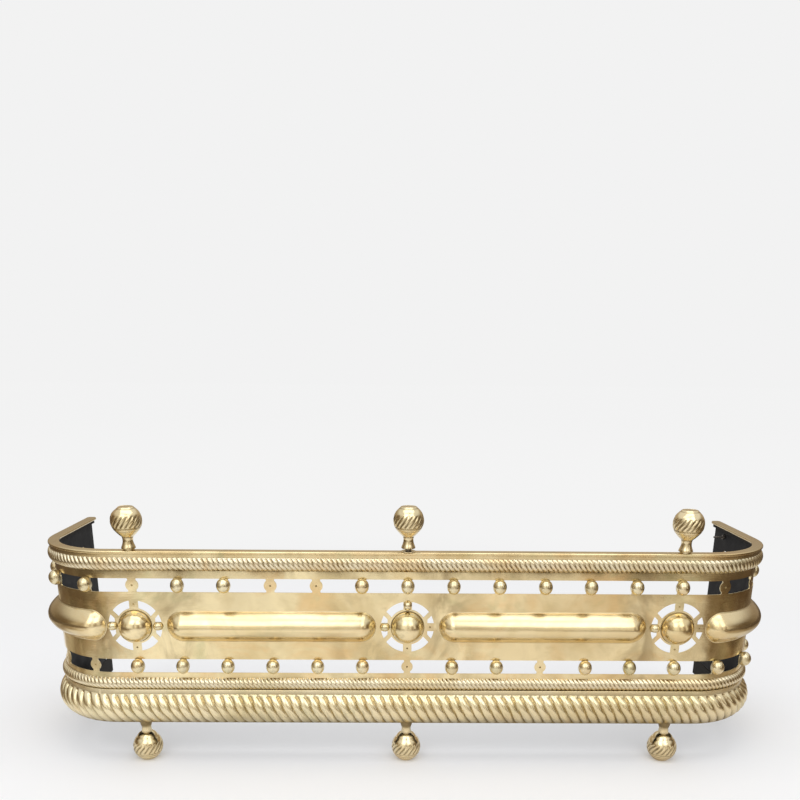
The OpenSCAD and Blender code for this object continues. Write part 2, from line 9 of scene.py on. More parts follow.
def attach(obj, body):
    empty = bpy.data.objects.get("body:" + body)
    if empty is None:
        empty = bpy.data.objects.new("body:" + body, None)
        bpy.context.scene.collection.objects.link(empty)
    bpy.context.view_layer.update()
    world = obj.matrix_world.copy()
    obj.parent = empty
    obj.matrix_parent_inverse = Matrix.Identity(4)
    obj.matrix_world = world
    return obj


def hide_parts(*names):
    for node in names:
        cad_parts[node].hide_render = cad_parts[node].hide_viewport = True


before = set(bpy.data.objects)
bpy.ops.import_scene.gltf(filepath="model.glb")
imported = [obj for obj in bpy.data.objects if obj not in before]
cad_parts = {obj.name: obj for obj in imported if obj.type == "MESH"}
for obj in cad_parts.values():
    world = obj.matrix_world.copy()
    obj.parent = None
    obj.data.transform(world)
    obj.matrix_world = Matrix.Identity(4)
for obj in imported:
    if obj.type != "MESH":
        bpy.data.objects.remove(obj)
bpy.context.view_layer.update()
random.seed(7)

# Sizes in millimetres. A place is given as s along the sheet from its middle, o outward from the
# sheet's outer face and z up from the floor.
HALF_WIDTH = 554.0
CORNER_R = 109.0
DEPTH = 254.0
ARC_START = HALF_WIDTH - CORNER_R
ARC_END = ARC_START + CORNER_R * math.pi / 2
PATH_END = ARC_END + DEPTH - CORNER_R
SHEET_THICK = 1.6
Y_MIDDLE = 118.0

# Heights of the bands
Z_FOOT = 65.0
Z_PLATE = Z_FOOT + 2.5
BULGE_HIGH = 46.8
Z_BULGE = Z_FOOT + BULGE_HIGH
Z_FILLET = Z_BULGE + 7.6
LOW_ROPE_HIGH = 18.9
LOW_SLOT = (Z_FILLET + 27.0, Z_FILLET + 49.0)
UP_SLOT = (LOW_SLOT[1] + 105.7, LOW_SLOT[1] + 126.7)
UP_ROPE_HIGH = 21.3
Z_ROPE = UP_SLOT[1] + 11.6
Z_SHEET = Z_ROPE + UP_ROPE_HIGH
Z_RAIL = Z_SHEET + 9.5
Z_UP, Z_LOW = sum(UP_SLOT) / 2, sum(LOW_SLOT) / 2
Z_MID = (LOW_SLOT[1] + UP_SLOT[0]) / 2

# Tabs and studs, numbered from the middle, and the tabs that have lost their studs
PITCH = 68.0
LAST_TAB = 10
UP_TAB_R, UP_TAB_NECK = 9.5, 12.0
LOW_TAB_R, LOW_TAB_NECK = 8.7, 9.5
UP_LOST = (-6, -3, -2, 7, 8)
LOW_LOST = (-9, -8, -7, 0, 3)

# Round openings, and which of the four spokes (right, up, left, down) still carry a bead
SIDE_S = 6 * PITCH
ROSETTES = ((-SIDE_S, (0, 2)), (0.0, (1, 2)), (SIDE_S, (2,)))
HUB_R, OPEN_R, BEAD_R = 28.0, 40.0, 34.0
PIN_HOLE_R = 1.6
BOLT_AT, BOLT_HOLE_R = PATH_END - 40.0, 1.7

# Top rail: its inner and outer edge, its thickness and the rounding of its edges
RAIL_IN, RAIL_OUT, RAIL_THICK, RAIL_EDGE = -10.0, 6.5, 4.4, 1.9
FINIAL_Y = 2.0

# Base plate
PLATE_END = PATH_END - 38.0
PLATE_IN, LIP_HIGH, LIP_THICK = -26.5, 29.5, 2.0

# Balls: the neck's radius and how much is cut off the flat end
BALL_NECK, BALL_FLAT = 8.0, 2.2
FINIAL_R, FOOT_R = 22.4, 22.8
ROD_R = 3.3


# The fender's path --------
def outward(s):
    """The direction in which the sheet faces at s."""
    turn = min(max((abs(s) - ARC_START) / CORNER_R, 0.0), math.pi / 2)
    return Vector((math.copysign(math.sin(turn), s), -math.cos(turn), 0.0))


def bend(s, o, z):
    """A place on the fender as x, y, z in metres."""
    t = abs(s)
    if t <= ARC_START:
        x, y = t, -o
    elif t <= ARC_END:
        turn = (t - ARC_START) / CORNER_R
        x = ARC_START + (CORNER_R + o) * math.sin(turn)
        y = CORNER_R - (CORNER_R + o) * math.cos(turn)
    else:
        x, y = HALF_WIDTH + o, CORNER_R + t - ARC_END
    return (math.copysign(x, s) / 1000, (y - Y_MIDDLE) / 1000, z / 1000)


def stations(flat_step, arc_step):
    """Values of s from end to end, with finer steps round the corners."""
    def span(a, b, step):
        k = max(1, round((b - a) / step))
        return [a + (b - a) * i / k for i in range(k)]

    half = span(0, ARC_START, flat_step) + span(ARC_START, ARC_END, arc_step)
    half += span(ARC_END, PATH_END, flat_step) + [PATH_END]
    return [-s for s in reversed(half[1:])] + half


def outward_putter(s, z, wide=1.0, high=1.0, tilt=(0.0, 0.0)):
    """Maps local x, y, h to the frame, with h outward from the sheet at s and z."""
    place, face, up = Vector(bend(s, 0.0, z)), outward(s), Vector((0, 0, 1))
    along = up.cross(face)

    def put(x, y, h):
        x_shift = along * ((x * wide + tilt[0] * h) / 1000)
        y_shift = up * ((y * high + tilt[1] * h) / 1000)
        return tuple(place + x_shift + y_shift + face * (h / 1000))
    return put


def upright_putter(x, y):
    """Maps local x, y, h to the frame, with h up; y is counted from the sheet's front face."""
    def put(dx, dy, h):
        return ((x + dx) / 1000, (y - Y_MIDDLE + dy) / 1000, h / 1000)
    return put


def arc(cx, cy, r, a0, a1, n):
    angles = [a0 + (a1 - a0) * i / n for i in range(n + 1)]
    return [(cx + r * math.cos(a), cy + r * math.sin(a)) for a in angles]


# Meshes --------
MATS = {}


class Bag:
    """Collects several closed forms into one mesh: points, faces, painted shade with grime as cavity
    values, and material numbers.
    """

    def __init__(self):
        self.points, self.faces, self.cavity, self.mats = [], [], [], []

    def skin(self, rows, cavity, mats):
        """Joins rows of points, each one a closed ring."""
        base, n = len(self.points), len(rows[0])
        for i, row in enumerate(rows):
            self.points.extend(row)
            self.cavity.extend(cavity[i] if cavity else [0.0] * n)
        for i in range(len(rows) - 1):
            a, b = base + i * n, base + (i + 1) * n
            for j in range(n):
                k = (j + 1) % n
                self.faces.append((a + j, a + k, b + k, b + j))
                self.mats.append(mats[j])

    def tube(self, rows, cavity=None, mats=None):
        """A skin with a flat cap at each end. mats has one number for each side of a ring."""
        first, n = len(self.points), len(rows[0])
        last = first + (len(rows) - 1) * n
        mats = mats or [0] * n
        self.skin(rows, cavity, mats)
        self.faces.append(tuple(range(first + n - 1, first - 1, -1)))
        self.faces.append(tuple(range(last, last + n)))
        self.mats.extend([mats[-1]] * 2)

    def lathe(self, profile, put, n=48, cavity=None, mat=0):
        """Turns a profile of (radius, height) pairs; put maps local x, y, h to the frame."""
        angles = [2 * math.pi * j / n for j in range(n)]
        rows = [[put(r * math.cos(a), r * math.sin(a), h) for a in angles] for r, h in profile]
        self.tube(rows, [[c] * n for c in cavity] if cavity else None, [mat] * n)

    def sweep(self, profile, end=PATH_END, cavity=None, mats=None):
        """Sweeps a profile of (o, z) pairs along the path to the given s at both ends."""
        inner = [s for s in stations(flat_step=12.0, arc_step=3.0) if abs(s) < end - 0.01]
        rows = [[bend(s, o, z) for o, z in profile] for s in [-end] + inner + [end]]
        self.tube(rows, [cavity] * len(rows) if cavity else None, mats)


def make(name, bag, materials, nodes=(), angle=35, normals=None, merge=1e-6):
    """Turns a bag into an object that takes the place of the frame's nodes.

    Without normals of its own it gets smooth ones, broken where faces meet at more than angle."""
    me = bpy.data.meshes.new(name)
    me.from_pydata(bag.points, [], bag.faces)
    for material in materials:
        me.materials.append(MATS[material])
    me.polygons.foreach_set("material_index", bag.mats)
    me.polygons.foreach_set("use_smooth", [True] * len(me.polygons))
    if any(bag.cavity):
        me.attributes.new("cavity", "FLOAT", "POINT").data.foreach_set("value", bag.cavity)
    me.update()
    if normals:
        me.normals_split_custom_set(normals(me))
    else:
        bm = bmesh.new()
        bm.from_mesh(me)
        bmesh.ops.remove_doubles(bm, verts=bm.verts, dist=merge)
        bmesh.ops.recalc_face_normals(bm, faces=bm.faces)
        bm.to_mesh(me)
        bm.free()
        me.set_sharp_from_angle(angle=math.radians(angle))
    ob = bpy.data.objects.new(name, me)
    bpy.context.scene.collection.objects.link(ob)
    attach(ob, "root")
    if nodes:
        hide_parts(*nodes)


# Shader helpers --------
def nodes_of(name):
    """A new material: its node tree and its Principled shader."""
    m = bpy.data.materials.new(name)
    m.use_nodes = True
    nt = m.node_tree
    nt.nodes.clear()
    out = nt.nodes.new("ShaderNodeOutputMaterial")
    sh = nt.nodes.new("ShaderNodeBsdfPrincipled")
    nt.links.new(sh.outputs[0], out.inputs[0])
    MATS[name] = m
    return nt, sh


def feed(nt, socket, value):
    """Links another node's output to the socket, or sets a number or a colour on it."""
    if isinstance(value, bpy.types.NodeSocket):
        nt.links.new(value, socket)
    elif isinstance(value, tuple):
        socket.default_value = (*value, 1)
    else:
        socket.default_value = value


def coordinates(nt, kind="Object"):
    return nt.nodes.new("ShaderNodeTexCoord").outputs[kind]


def separate(nt, vector):
    """The x, y and z of a vector."""
    parts = nt.nodes.new("ShaderNodeSeparateXYZ")
    nt.links.new(vector, parts.inputs[0])
    return parts.outputs


def noise_tex(nt, co, scale, detail=4.0, rough=0.55, twist=0.0):
    t = nt.nodes.new("ShaderNodeTexNoise")
    t.inputs["Scale"].default_value = scale
    t.inputs["Detail"].default_value = detail
    t.inputs["Roughness"].default_value = rough
    t.inputs["Distortion"].default_value = twist
    nt.links.new(co, t.inputs["Vector"])
    return t.outputs["Fac"]


def mapped(nt, co, scale, move=(0, 0, 0)):
    m = nt.nodes.new("ShaderNodeMapping")
    m.inputs["Location"].default_value = move
    m.inputs["Scale"].default_value = scale
    nt.links.new(co, m.inputs["Vector"])
    return m.outputs[0]


def ramp(nt, fac, stops):
    """stops are (position, colour or grey value) pairs."""
    r = nt.nodes.new("ShaderNodeValToRGB")
    elements = r.color_ramp.elements
    while len(elements) < len(stops):
        elements.new(0.5)
    for element, (position, value) in zip(elements, stops):
        element.position = position
        element.color = (*value, 1) if isinstance(value, tuple) else (value, value, value, 1)
    nt.links.new(fac, r.inputs[0])
    return r.outputs[0]


def mix_colour(nt, fac, a, b, mode="MIX"):
    m = nt.nodes.new("ShaderNodeMix")
    m.data_type = "RGBA"
    m.blend_type = mode
    for socket, value in ((0, fac), (6, a), (7, b)):
        feed(nt, m.inputs[socket], value)
    return m.outputs[2]


def mix_shader(nt, fac, a, b):
    m = nt.nodes.new("ShaderNodeMixShader")
    for socket, value in enumerate((fac, a, b)):
        nt.links.new(value, m.inputs[socket])
    return m.outputs[0]


def math_node(nt, op, a, b=0.0, clamp=False):
    m = nt.nodes.new("ShaderNodeMath")
    m.operation = op
    m.use_clamp = clamp
    feed(nt, m.inputs[0], a)
    feed(nt, m.inputs[1], b)
    return m.outputs[0]


def patches(nt, co, size, detail, twist, low, high, move=(0, 0, 0), tall=1.0):
    """A cloudy mask between two (noise value, strength) stops."""
    place = mapped(nt, co, (1, 1, tall), move)
    return ramp(nt, noise_tex(nt, place, size, detail, 0.6, twist), [low, high])


def bump(nt, sh, layers):
    """layers are (height, strength, distance in metres), laid one on the other."""
    below = None
    for height, strength, distance in layers:
        b = nt.nodes.new("ShaderNodeBump")
        b.inputs["Strength"].default_value = strength
        b.inputs["Distance"].default_value = distance
        nt.links.new(height, b.inputs["Height"])
        if below:
            nt.links.new(below, b.inputs["Normal"])
        below = b.outputs[0]
    nt.links.new(below, sh.inputs["Normal"])


# Brass --------
WARM_TARNISH = (0.78, 0.50, 0.22)
GREEN_TARNISH = (0.52, 0.50, 0.27)
SIDE_SHADE_AND_TARNISH = (0.40, 0.31, 0.18)
SMUDGE = (0.36, 0.27, 0.14)
SHADE_AND_GRIME = (0.17, 0.115, 0.045)


def painted_shade_bands(nt, plain, co, bands):
    """Painted shade in bands broken by patches, from (height in metres, strength) stops up to half a
    metre.
    """
    height = math_node(nt, "MULTIPLY", separate(nt, plain)[2], 2.0)
    low = ramp(nt, height, [(z * 2, value) for z, value in bands])
    broken = patches(nt, co, 13.0, 3.0, 0.6, (0.40, 0.1), (0.60, 1.0), (1.3, 4.4, 0.2), 0.3)
    return math_node(nt, "MULTIPLY", low, broken)


def smudge_mask(nt, plain, co, spacing):
    """Cloudy smudges beside openings that stand at the middle and at spacing metres from it."""
    x = math_node(nt, "ABSOLUTE", separate(nt, plain)[0])
    from_side = math_node(nt, "ABSOLUTE", math_node(nt, "SUBTRACT", x, spacing))
    away = math_node(nt, "MULTIPLY", math_node(nt, "MINIMUM", x, from_side), 5.0)
    beside = ramp(nt, away, [(0.12, 0.25), (0.25, 0.9), (0.4, 0.55), (0.6, 0.12), (1.0, 0.2)])
    cloud = patches(nt, co, 16.0, 4.0, 0.9, (0.42, 0.0), (0.60, 0.85), (0.6, 2.7, 1.1), 0.7)
    return math_node(nt, "MULTIPLY", beside, cloud)


def brass(name, light, mid, dull, rough, wave, grain, tarnish, seed,
          turning=90.0, bands=None, smudges=None, ends=0.0):
    """Worn brass: tarnish in patches over light and mid clouds, and painted shade with grime where
    the mesh's cavity values are high.

    wave and grain are the strengths of the coarse and the fine relief, turning the fineness of
    the lines across z, and ends how far the colour darkens at the far left and right, painted shade
    of the sideways faces with some tarnish."""
    nt, sh = nodes_of(name)
    plain = coordinates(nt)
    co = mapped(nt, plain, (1, 1, 1), (seed, seed * 0.7, seed * 1.3))
    clouds = noise_tex(nt, co, 5.0, 4.0, 0.55, 0.8)
    freckles = noise_tex(nt, co, 24.0, 6.0, 0.62, 0.5)
    colour = ramp(nt, clouds, [(0.36, mid), (0.47, light), (0.55, light), (0.66, mid)])
    warm = patches(nt, co, 9.0, 4.0, 1.2, (0.53, 0.0), (0.68, tarnish * 0.8), (3.7, 1.9, 0.4))
    colour = mix_colour(nt, warm, colour, WARM_TARNISH)
    green = patches(nt, co, 8.0, 4.0, 1.2, (0.55, 0.0), (0.71, tarnish * 0.9), (8.1, 5.3, 2.2))
    colour = mix_colour(nt, green, colour, GREEN_TARNISH)
    spots = ramp(nt, freckles, [(0.5, 0.0), (0.74, tarnish * 0.8)])
    colour = mix_colour(nt, spots, colour, dull)
    # Painted shade with grime: the mesh's cavity values, and any height bands, darken the colour and
    # roughen it.
    cavity = nt.nodes.new("ShaderNodeAttribute")
    cavity.attribute_name = "cavity"
    shade_and_grime = math_node(nt, "MULTIPLY", cavity.outputs["Fac"], 0.85, True)
    if bands:
        shade_and_grime = math_node(nt, "ADD", shade_and_grime, painted_shade_bands(nt, plain, co, bands), True)
    # Painted shade of the sideways faces, with some tarnish: the colour darkens toward the far left
    # and right.
    if ends:
        side = math_node(nt, "ABSOLUTE", separate(nt, plain)[0])
        colour = mix_colour(nt, ramp(nt, side, [(0.47, 0.0), (0.54, ends)]), colour, SIDE_SHADE_AND_TARNISH)
    if smudges:
        colour = mix_colour(nt, smudge_mask(nt, plain, co, smudges), colour, SMUDGE)
    nt.links.new(mix_colour(nt, shade_and_grime, colour, SHADE_AND_GRIME), sh.inputs["Base Color"])
    sh.inputs["Metallic"].default_value = 1.0
    shine = ramp(nt, freckles, [(0.3, rough[0]), (0.72, rough[1])])
    shine = math_node(nt, "ADD", shine, math_node(nt, "MULTIPLY", shade_and_grime, 0.3), True)
    nt.links.new(shine, sh.inputs["Roughness"])
    swell = noise_tex(nt, co, 11.0, 2.0, 0.4, 0.3)
    lines = noise_tex(nt, mapped(nt, co, (2.0, 2.0, turning)), 14.0, 3.0, 0.5)
    fine = noise_tex(nt, co, 170.0, 5.0, 0.6)
    bump(nt, sh, [(swell, wave, 0.006), (lines, grain, 0.0006), (fine, grain, 0.0003)])


# The sheet's height bands are painted shade: a little just above the lower rope, deepening just under
# the upper rope.
brass("brass_sheet", (0.90, 0.75, 0.45), (0.77, 0.60, 0.32), (0.66, 0.53, 0.28),
      rough=(0.11, 0.22), wave=0.65, grain=0.1, tarnish=0.8, seed=0.0, smudges=SIDE_S / 1000,
      bands=((0.137, 0.35), (0.1415, 0.0), (0.286, 0.0), (0.297, 0.15), (0.304, 0.4), (0.307, 0.85)))
brass("brass_gadroon", (0.89, 0.77, 0.51), (0.82, 0.69, 0.42), (0.62, 0.49, 0.26),
      rough=(0.17, 0.28), wave=0.1, grain=0.08, tarnish=0.4, seed=3.1)
brass("brass_rope", (0.85, 0.75, 0.54), (0.77, 0.65, 0.42), (0.64, 0.50, 0.26),
      rough=(0.14, 0.26), wave=0.1, grain=0.08, tarnish=0.45, seed=3.1)
brass("brass_boss", (0.90, 0.75, 0.46), (0.82, 0.66, 0.37), (0.66, 0.52, 0.28),
      rough=(0.19, 0.29), wave=0.35, grain=0.06, tarnish=0.45, seed=5.7, ends=0.6)
brass("brass_rail", (0.85, 0.70, 0.41), (0.75, 0.58, 0.31), (0.50, 0.38, 0.19),
      rough=(0.16, 0.3), wave=0.15, grain=0.1, tarnish=0.7, seed=8.2, ends=0.5)
brass("brass_turned", (0.88, 0.74, 0.47), (0.78, 0.64, 0.37), (0.58, 0.46, 0.25),
      rough=(0.13, 0.25), wave=0.12, grain=0.08, tarnish=0.5, seed=11.4, turning=160.0)
brass("brass_stud", (0.84, 0.74, 0.50), (0.74, 0.62, 0.38), (0.56, 0.46, 0.27),
      rough=(0.2, 0.32), wave=0.1, grain=0.08, tarnish=0.6, seed=17.3)
brass("brass_tab", (0.90, 0.79, 0.52), (0.84, 0.71, 0.42), (0.70, 0.58, 0.33),
      rough=(0.3, 0.45), wave=0.05, grain=0.1, tarnish=0.35, seed=13.9)


# Black, dirt and steel --------
def japan(name, base, rough):
    """Dull japanned black, or a dull brown fill, with paler specks."""
    nt, sh = nodes_of(name)
    co = coordinates(nt)
    specks = noise_tex(nt, co, 40.0, 6.0, 0.65, 0.4)
    pale = tuple(c * 2.4 + 0.004 for c in base)
    nt.links.new(ramp(nt, specks, [(0.35, base), (0.7, pale)]), sh.inputs["Base Color"])
    nt.links.new(ramp(nt, specks, [(0.3, rough), (0.75, rough + 0.25)]), sh.inputs["Roughness"])
    sh.inputs["Specular IOR Level"].default_value = 0.2
    grain, swell = noise_tex(nt, co, 120.0, 4.0), noise_tex(nt, co, 12.0, 2.0)
    bump(nt, sh, [(grain, 0.25, 0.0006), (swell, 0.2, 0.003)])


def steel(name):
    """Dull steel with brown specks."""
    nt, sh = nodes_of(name)
    co = coordinates(nt)
    specks = noise_tex(nt, co, 90.0, 5.0)
    brown, grey = (0.10, 0.085, 0.07), (0.26, 0.24, 0.22)
    nt.links.new(ramp(nt, specks, [(0.3, brown), (0.7, grey)]), sh.inputs["Base Color"])
    sh.inputs["Metallic"].default_value = 0.9
    nt.links.new(ramp(nt, specks, [(0.3, 0.4), (0.7, 0.6)]), sh.inputs["Roughness"])
    bump(nt, sh, [(noise_tex(nt, co, 300.0, 3.0), 0.2, 0.0005)])


japan("black", (0.0035, 0.0035, 0.0045), 0.5)
japan("rust_black", (0.009, 0.0075, 0.006), 0.6)
japan("hole_plug", (0.22, 0.16, 0.07), 0.6)
steel("steel")


# Pierced sheet --------
def ring_loop(s, z, r, n=14):
    angles = [2 * math.pi * i / n for i in range(n)]
    return [(s + r * math.cos(a), z + r * math.sin(a)) for a in angles]


def tab_side(r, neck, z0, z1):
    """The right side of a tab, upward: a disc of radius r on a neck above and below."""
    curve = 1.3
    half = math.acos(neck / 2 / r)
    side = arc(neck / 2 + curve, z0 + curve, curve, -math.pi / 2, -math.pi, 3)
    side += arc(0, (z0 + z1) / 2, r, -half, half, 16)
    side += arc(neck / 2 + curve, z1 - curve, curve, math.pi, math.pi / 2, 3)
    return side


def slot_loops(r, neck, z0, z1, bare):
    """A row of slots. A tab under a stud is a little smaller, so that the stud covers it."""
    covered = r - 1.7

    def side(k):
        return tab_side(r if k in bare else covered, neck, z0, z1)

    loops = []
    for k in range(-LAST_TAB, LAST_TAB):
        left = [(k * PITCH + x, z) for x, z in side(k)]
        right = [((k + 1) * PITCH - x, z) for x, z in reversed(side(k + 1))]
        loops.append(left + right)
    row_end = (LAST_TAB + 0.5) * PITCH
    last = [(LAST_TAB * PITCH + x, z) for x, z in side(LAST_TAB)] + [(row_end, z1), (row_end, z0)]
    loops.append(last)
    loops.append([(-x, z) for x, z in reversed(last)])
    return loops


def rosette_loops(s0):
    """The eight holes of a round opening, between its hub and its rim.

    Four spokes stand upright and level. A slanted bar in each quarter splits it into an upper and
    a side hole."""
    slant, bar_x, bar_z, bar_half = math.radians(47), 30.7, 17.6, 3.25
    spoke_half, side_x, side_z = 6.5, 30.0, 6.2
    dx, dy = math.cos(slant), math.sin(slant)
    nx, ny = -dy * bar_half, dx * bar_half

    def bar_meets(x, y, r):
        """Where a line from x, y along the bar crosses the circle of radius r, as an angle."""
        b, c = x * dx + y * dy, x * x + y * y - r * r
        t = -b + math.sqrt(b * b - c)
        return math.atan2(y + t * dy, x + t * dx)

    hub_angle = bar_meets(bar_x + nx, bar_z + ny, HUB_R)
    upper_angle = bar_meets(bar_x + nx, bar_z + ny, OPEN_R)
    side_angle = bar_meets(bar_x - nx, bar_z - ny, OPEN_R)
    t = (side_x - (bar_x - nx)) / dx
    side_top = bar_z - ny + t * dy
    upper = arc(0, 0, HUB_R, math.acos(spoke_half / HUB_R), hub_angle, 12)
    upper += arc(0, 0, OPEN_R, upper_angle, math.acos(spoke_half / OPEN_R), 16)
    beside = [(side_x, side_z)] + arc(0, 0, OPEN_R, math.asin(side_z / OPEN_R), side_angle, 6)
    beside += [(side_x, side_top)]
    return [[(s0 + x * sx, Z_MID + z * sz) for x, z in hole]
            for hole in (upper, beside) for sx in (1, -1) for sz in (1, -1)]


def spoke_spot(s0, i):
    """The place of the bead on spoke i."""
    a = i * math.pi / 2
    return s0 + BEAD_R * math.cos(a), Z_MID + BEAD_R * math.sin(a)


def sheet_holes():
    """All openings of the flat sheet as loops of (s, z)."""
    loops = slot_loops(UP_TAB_R, UP_TAB_NECK, *UP_SLOT, UP_LOST)
    loops += slot_loops(LOW_TAB_R, LOW_TAB_NECK, *LOW_SLOT, LOW_LOST)
    loops.append(ring_loop(BOLT_AT, Z_ROPE + UP_ROPE_HIGH / 2, BOLT_HOLE_R))
    for s0, _ in ROSETTES:
        loops += rosette_loops(s0)
        loops += [ring_loop(*spoke_spot(s0, i), PIN_HOLE_R) for i in range(4)]
    for k in range(-LAST_TAB, LAST_TAB + 1):
        loops.append(ring_loop(k * PITCH, Z_UP, PIN_HOLE_R))
        loops.append(ring_loop(k * PITCH, Z_LOW, PIN_HOLE_R))
    return loops


def inside_loop(x, y, loop):
    hit = False
    for i in range(len(loop)):
        (x0, y0), (x1, y1) = loop[i - 1], loop[i]
        if (y0 > y) != (y1 > y) and x < (x1 - x0) * (y - y0) / (y1 - y0) + x0:
            hit = not hit
    return hit


def flat_sheet(holes):
    """The sheet laid flat: its points, and its triangles without those in the holes."""
    points, edges = [], []

    def add(loop):
        b = len(points)
        points.extend(Vector(p) for p in loop)
        edges.extend((b + i, b + (i + 1) % len(loop)) for i in range(len(loop)))

    add([(-PATH_END, Z_FOOT), (-PLATE_END, Z_FOOT), (-PLATE_END, Z_PLATE), (PLATE_END, Z_PLATE),
         (PLATE_END, Z_FOOT), (PATH_END, Z_FOOT), (PATH_END, Z_SHEET), (-PATH_END, Z_SHEET)])
    for loop in holes:
        add(loop)
    arc_steps = 48
    cuts = [ARC_START + (ARC_END - ARC_START) * i / arc_steps for i in range(arc_steps + 1)]
    cuts += [(i + 0.5) * PITCH for i in range(6)] + [LAST_TAB * PITCH]
    for cut in cuts:
        for side in (-1, 1):
            b = len(points)
            points.extend((Vector((cut * side, Z_PLATE)), Vector((cut * side, Z_SHEET))))
            edges.append((b, b + 1))
    result = delaunay_2d_cdt(points, edges, [], 1, 1e-4)
    flat, triangles = result[0], result[2]

    boxes = []
    for loop in holes:
        xs, zs = [p[0] for p in loop], [p[1] for p in loop]
        boxes.append((min(xs), max(xs), min(zs), max(zs)))

    def in_a_hole(triangle):
        x = sum(flat[i][0] for i in triangle) / 3
        z = sum(flat[i][1] for i in triangle) / 3
        return any(x0 < x < x1 and z0 < z < z1 and inside_loop(x, z, loop)
                   for (x0, x1, z0, z1), loop in zip(boxes, holes))

    kept = [t for t in triangles if not in_a_hole(t)]
    used = sorted({i for t in kept for i in t})
    number = {old: new for new, old in enumerate(used)}
    return [flat[i] for i in used], [tuple(number[i] for i in t) for t in kept]


def pierced_sheet():
    """The bent sheet: brass outside, black inside, with paler cut edges."""
    outside, inside, edge = range(3)
    points, triangles = flat_sheet(sheet_holes())
    n = len(points)
    bag = Bag()
    bag.points = [bend(s, 0.0, z) for s, z in points] + [bend(s, -SHEET_THICK, z) for s, z in points]
    for t in triangles:
        bag.faces += [t, tuple(i + n for i in reversed(t))]
        bag.mats += [outside, inside]
    sides = [(t[i], t[(i + 1) % 3]) for t in triangles for i in range(3)]
    shared = set(sides)
    for a, b in sides:
        if (b, a) not in shared:
            bag.faces.append((b, a, a + n, b + n))
            bag.mats.append(edge)

    def smooth_faces(me):
        """Normals that follow the bend on both faces, and flat ones on the cut edges."""
        normals = []
        for p in me.polygons:
            if p.material_index == edge:
                normals.extend([tuple(p.normal)] * p.loop_total)
                continue
            sign = 1.0 if p.material_index == outside else -1.0
            for i in p.loop_indices:
                s = points[me.loops[i].vertex_index % n][0]
                normals.append(tuple(outward(s) * sign))
        return normals

    make("pierced_sheet", bag, ["brass_sheet", "black", "brass_tab"], ["frieze_sheet"],
         normals=smooth_faces)


pierced_sheet()


# Mouldings swept round the path --------
def rope(bag, low, height, stand_off, proud, pitch, lean, depth, across, along, edge, foot_shade, tuck=0.0):
    """A band of slanted strands on the sheet, from height low up, round in section.

    lean is how far a strand runs along the band from edge to edge, depth the depth of a groove,
    across and along the mesh steps over the band and per strand. edge is the share of the band in
    which the grooves fade out, the value after edge sets the painted shade toward its foot, and tuck
    draws its top outward. The cavity values are painted shade: dark in the grooves, less on the
    upper part, darker along the bottom edge and toward the foot."""
    half = height / 2
    radius = (half * half + proud * proud) / (2 * proud)
    o_centre, z_centre = stand_off + proud - radius, low + half
    spread = math.asin(half / radius)
    count = round(2 * PATH_END / pitch) * along
    rows, cavity = [], []
    for i in range(count + 1):
        s = -PATH_END + 2 * PATH_END * i / count
        drift = 0.4 * noise.noise((s * 0.013, low, 0.3))
        drift += 0.12 * pitch * noise.noise((s * 0.11, low, 5.3))
        groove = depth * (1 + 0.25 * noise.noise((s * 0.02, low, 9.1)))
        row, dark_row = [], []
        for j in range(across + 1):
            angle = -spread + 2 * spread * j / across
            u = angle / spread
            strand = (s + drift + lean * u / 2) / pitch
            strand = strand - math.floor(strand) - 0.5
            crown = math.sqrt(max(0.0, 1 - (2 * strand * 0.985) ** 2)) ** 0.9
            fade = min(1.0, (1 - abs(u)) / edge)
            fade = fade * fade * (3 - 2 * fade)
            r = radius - groove * (1 - crown) * fade
            o = o_centre + r * math.cos(angle) + tuck * ((u + 1) / 2) ** 3
            row.append(bend(s, o, z_centre + r * math.sin(angle)))
            # Painted shade: the grooves darken, less on the upper part, and the bottom edge and the
            # foot darken more.
            upper = max(0.0, (u - 0.35) / 0.65)
            dark = 0.9 * (1 - crown) ** 1.6 * (0.3 + 0.7 * fade) * (1 - 0.75 * upper)
            dark += (0.75 if u < 0 else 0.1) * (1 - fade) + foot_shade * max(0.0, -u) ** 2
            dark_row.append(min(1.0, dark))
        rows.append(row)
        cavity.append(dark_row)
    bag.tube(rows, cavity)


def upper_rope():
    bag = Bag()
    rope(bag, Z_ROPE, UP_ROPE_HIGH, 0.0, 7.8, 7.25, lean=12.5, depth=2.6, across=22, along=12,
         edge=0.14, foot_shade=0.35, tuck=4.4)
    make("upper_rope_twist", bag, ["brass_rope"], ["upper_rope"], angle=60)


def lower_rope():
    bag = Bag()
    rope(bag, Z_FILLET, LOW_ROPE_HIGH, 0.0, 7.0, 6.7, lean=11.0, depth=2.2, across=20, along=12,
         edge=0.2, foot_shade=0.3)
    make("lower_rope_twist", bag, ["brass_rope"], ["lower_rope"], angle=60)


def base_moulding():
    """The fluted bulge with the plain fillet above it."""
    proud, curve = 3.0, 0.8
    bag = Bag()
    rope(bag, Z_FOOT, BULGE_HIGH, proud, 12.0, 14.5, lean=24.0, depth=5.0, across=40, along=18,
         edge=0.12, foot_shade=0.8)
    fillet = [(0.0, Z_BULGE), (proud, Z_BULGE)]
    fillet += arc(proud - curve, Z_FILLET - curve, curve, 0, math.pi / 2, 5)
    fillet += [(0.0, Z_FILLET)]
    # Painted shade along the fillet's lower edge over the bulge, and a little along its top.
    bag.sweep(fillet, cavity=[0, 0.6, 0.1, 0, 0, 0, 0, 0.3, 0])
    make("base_gadroon", bag, ["brass_gadroon"], ["base_moulding"], angle=60)


upper_rope()
lower_rope()
base_moulding()


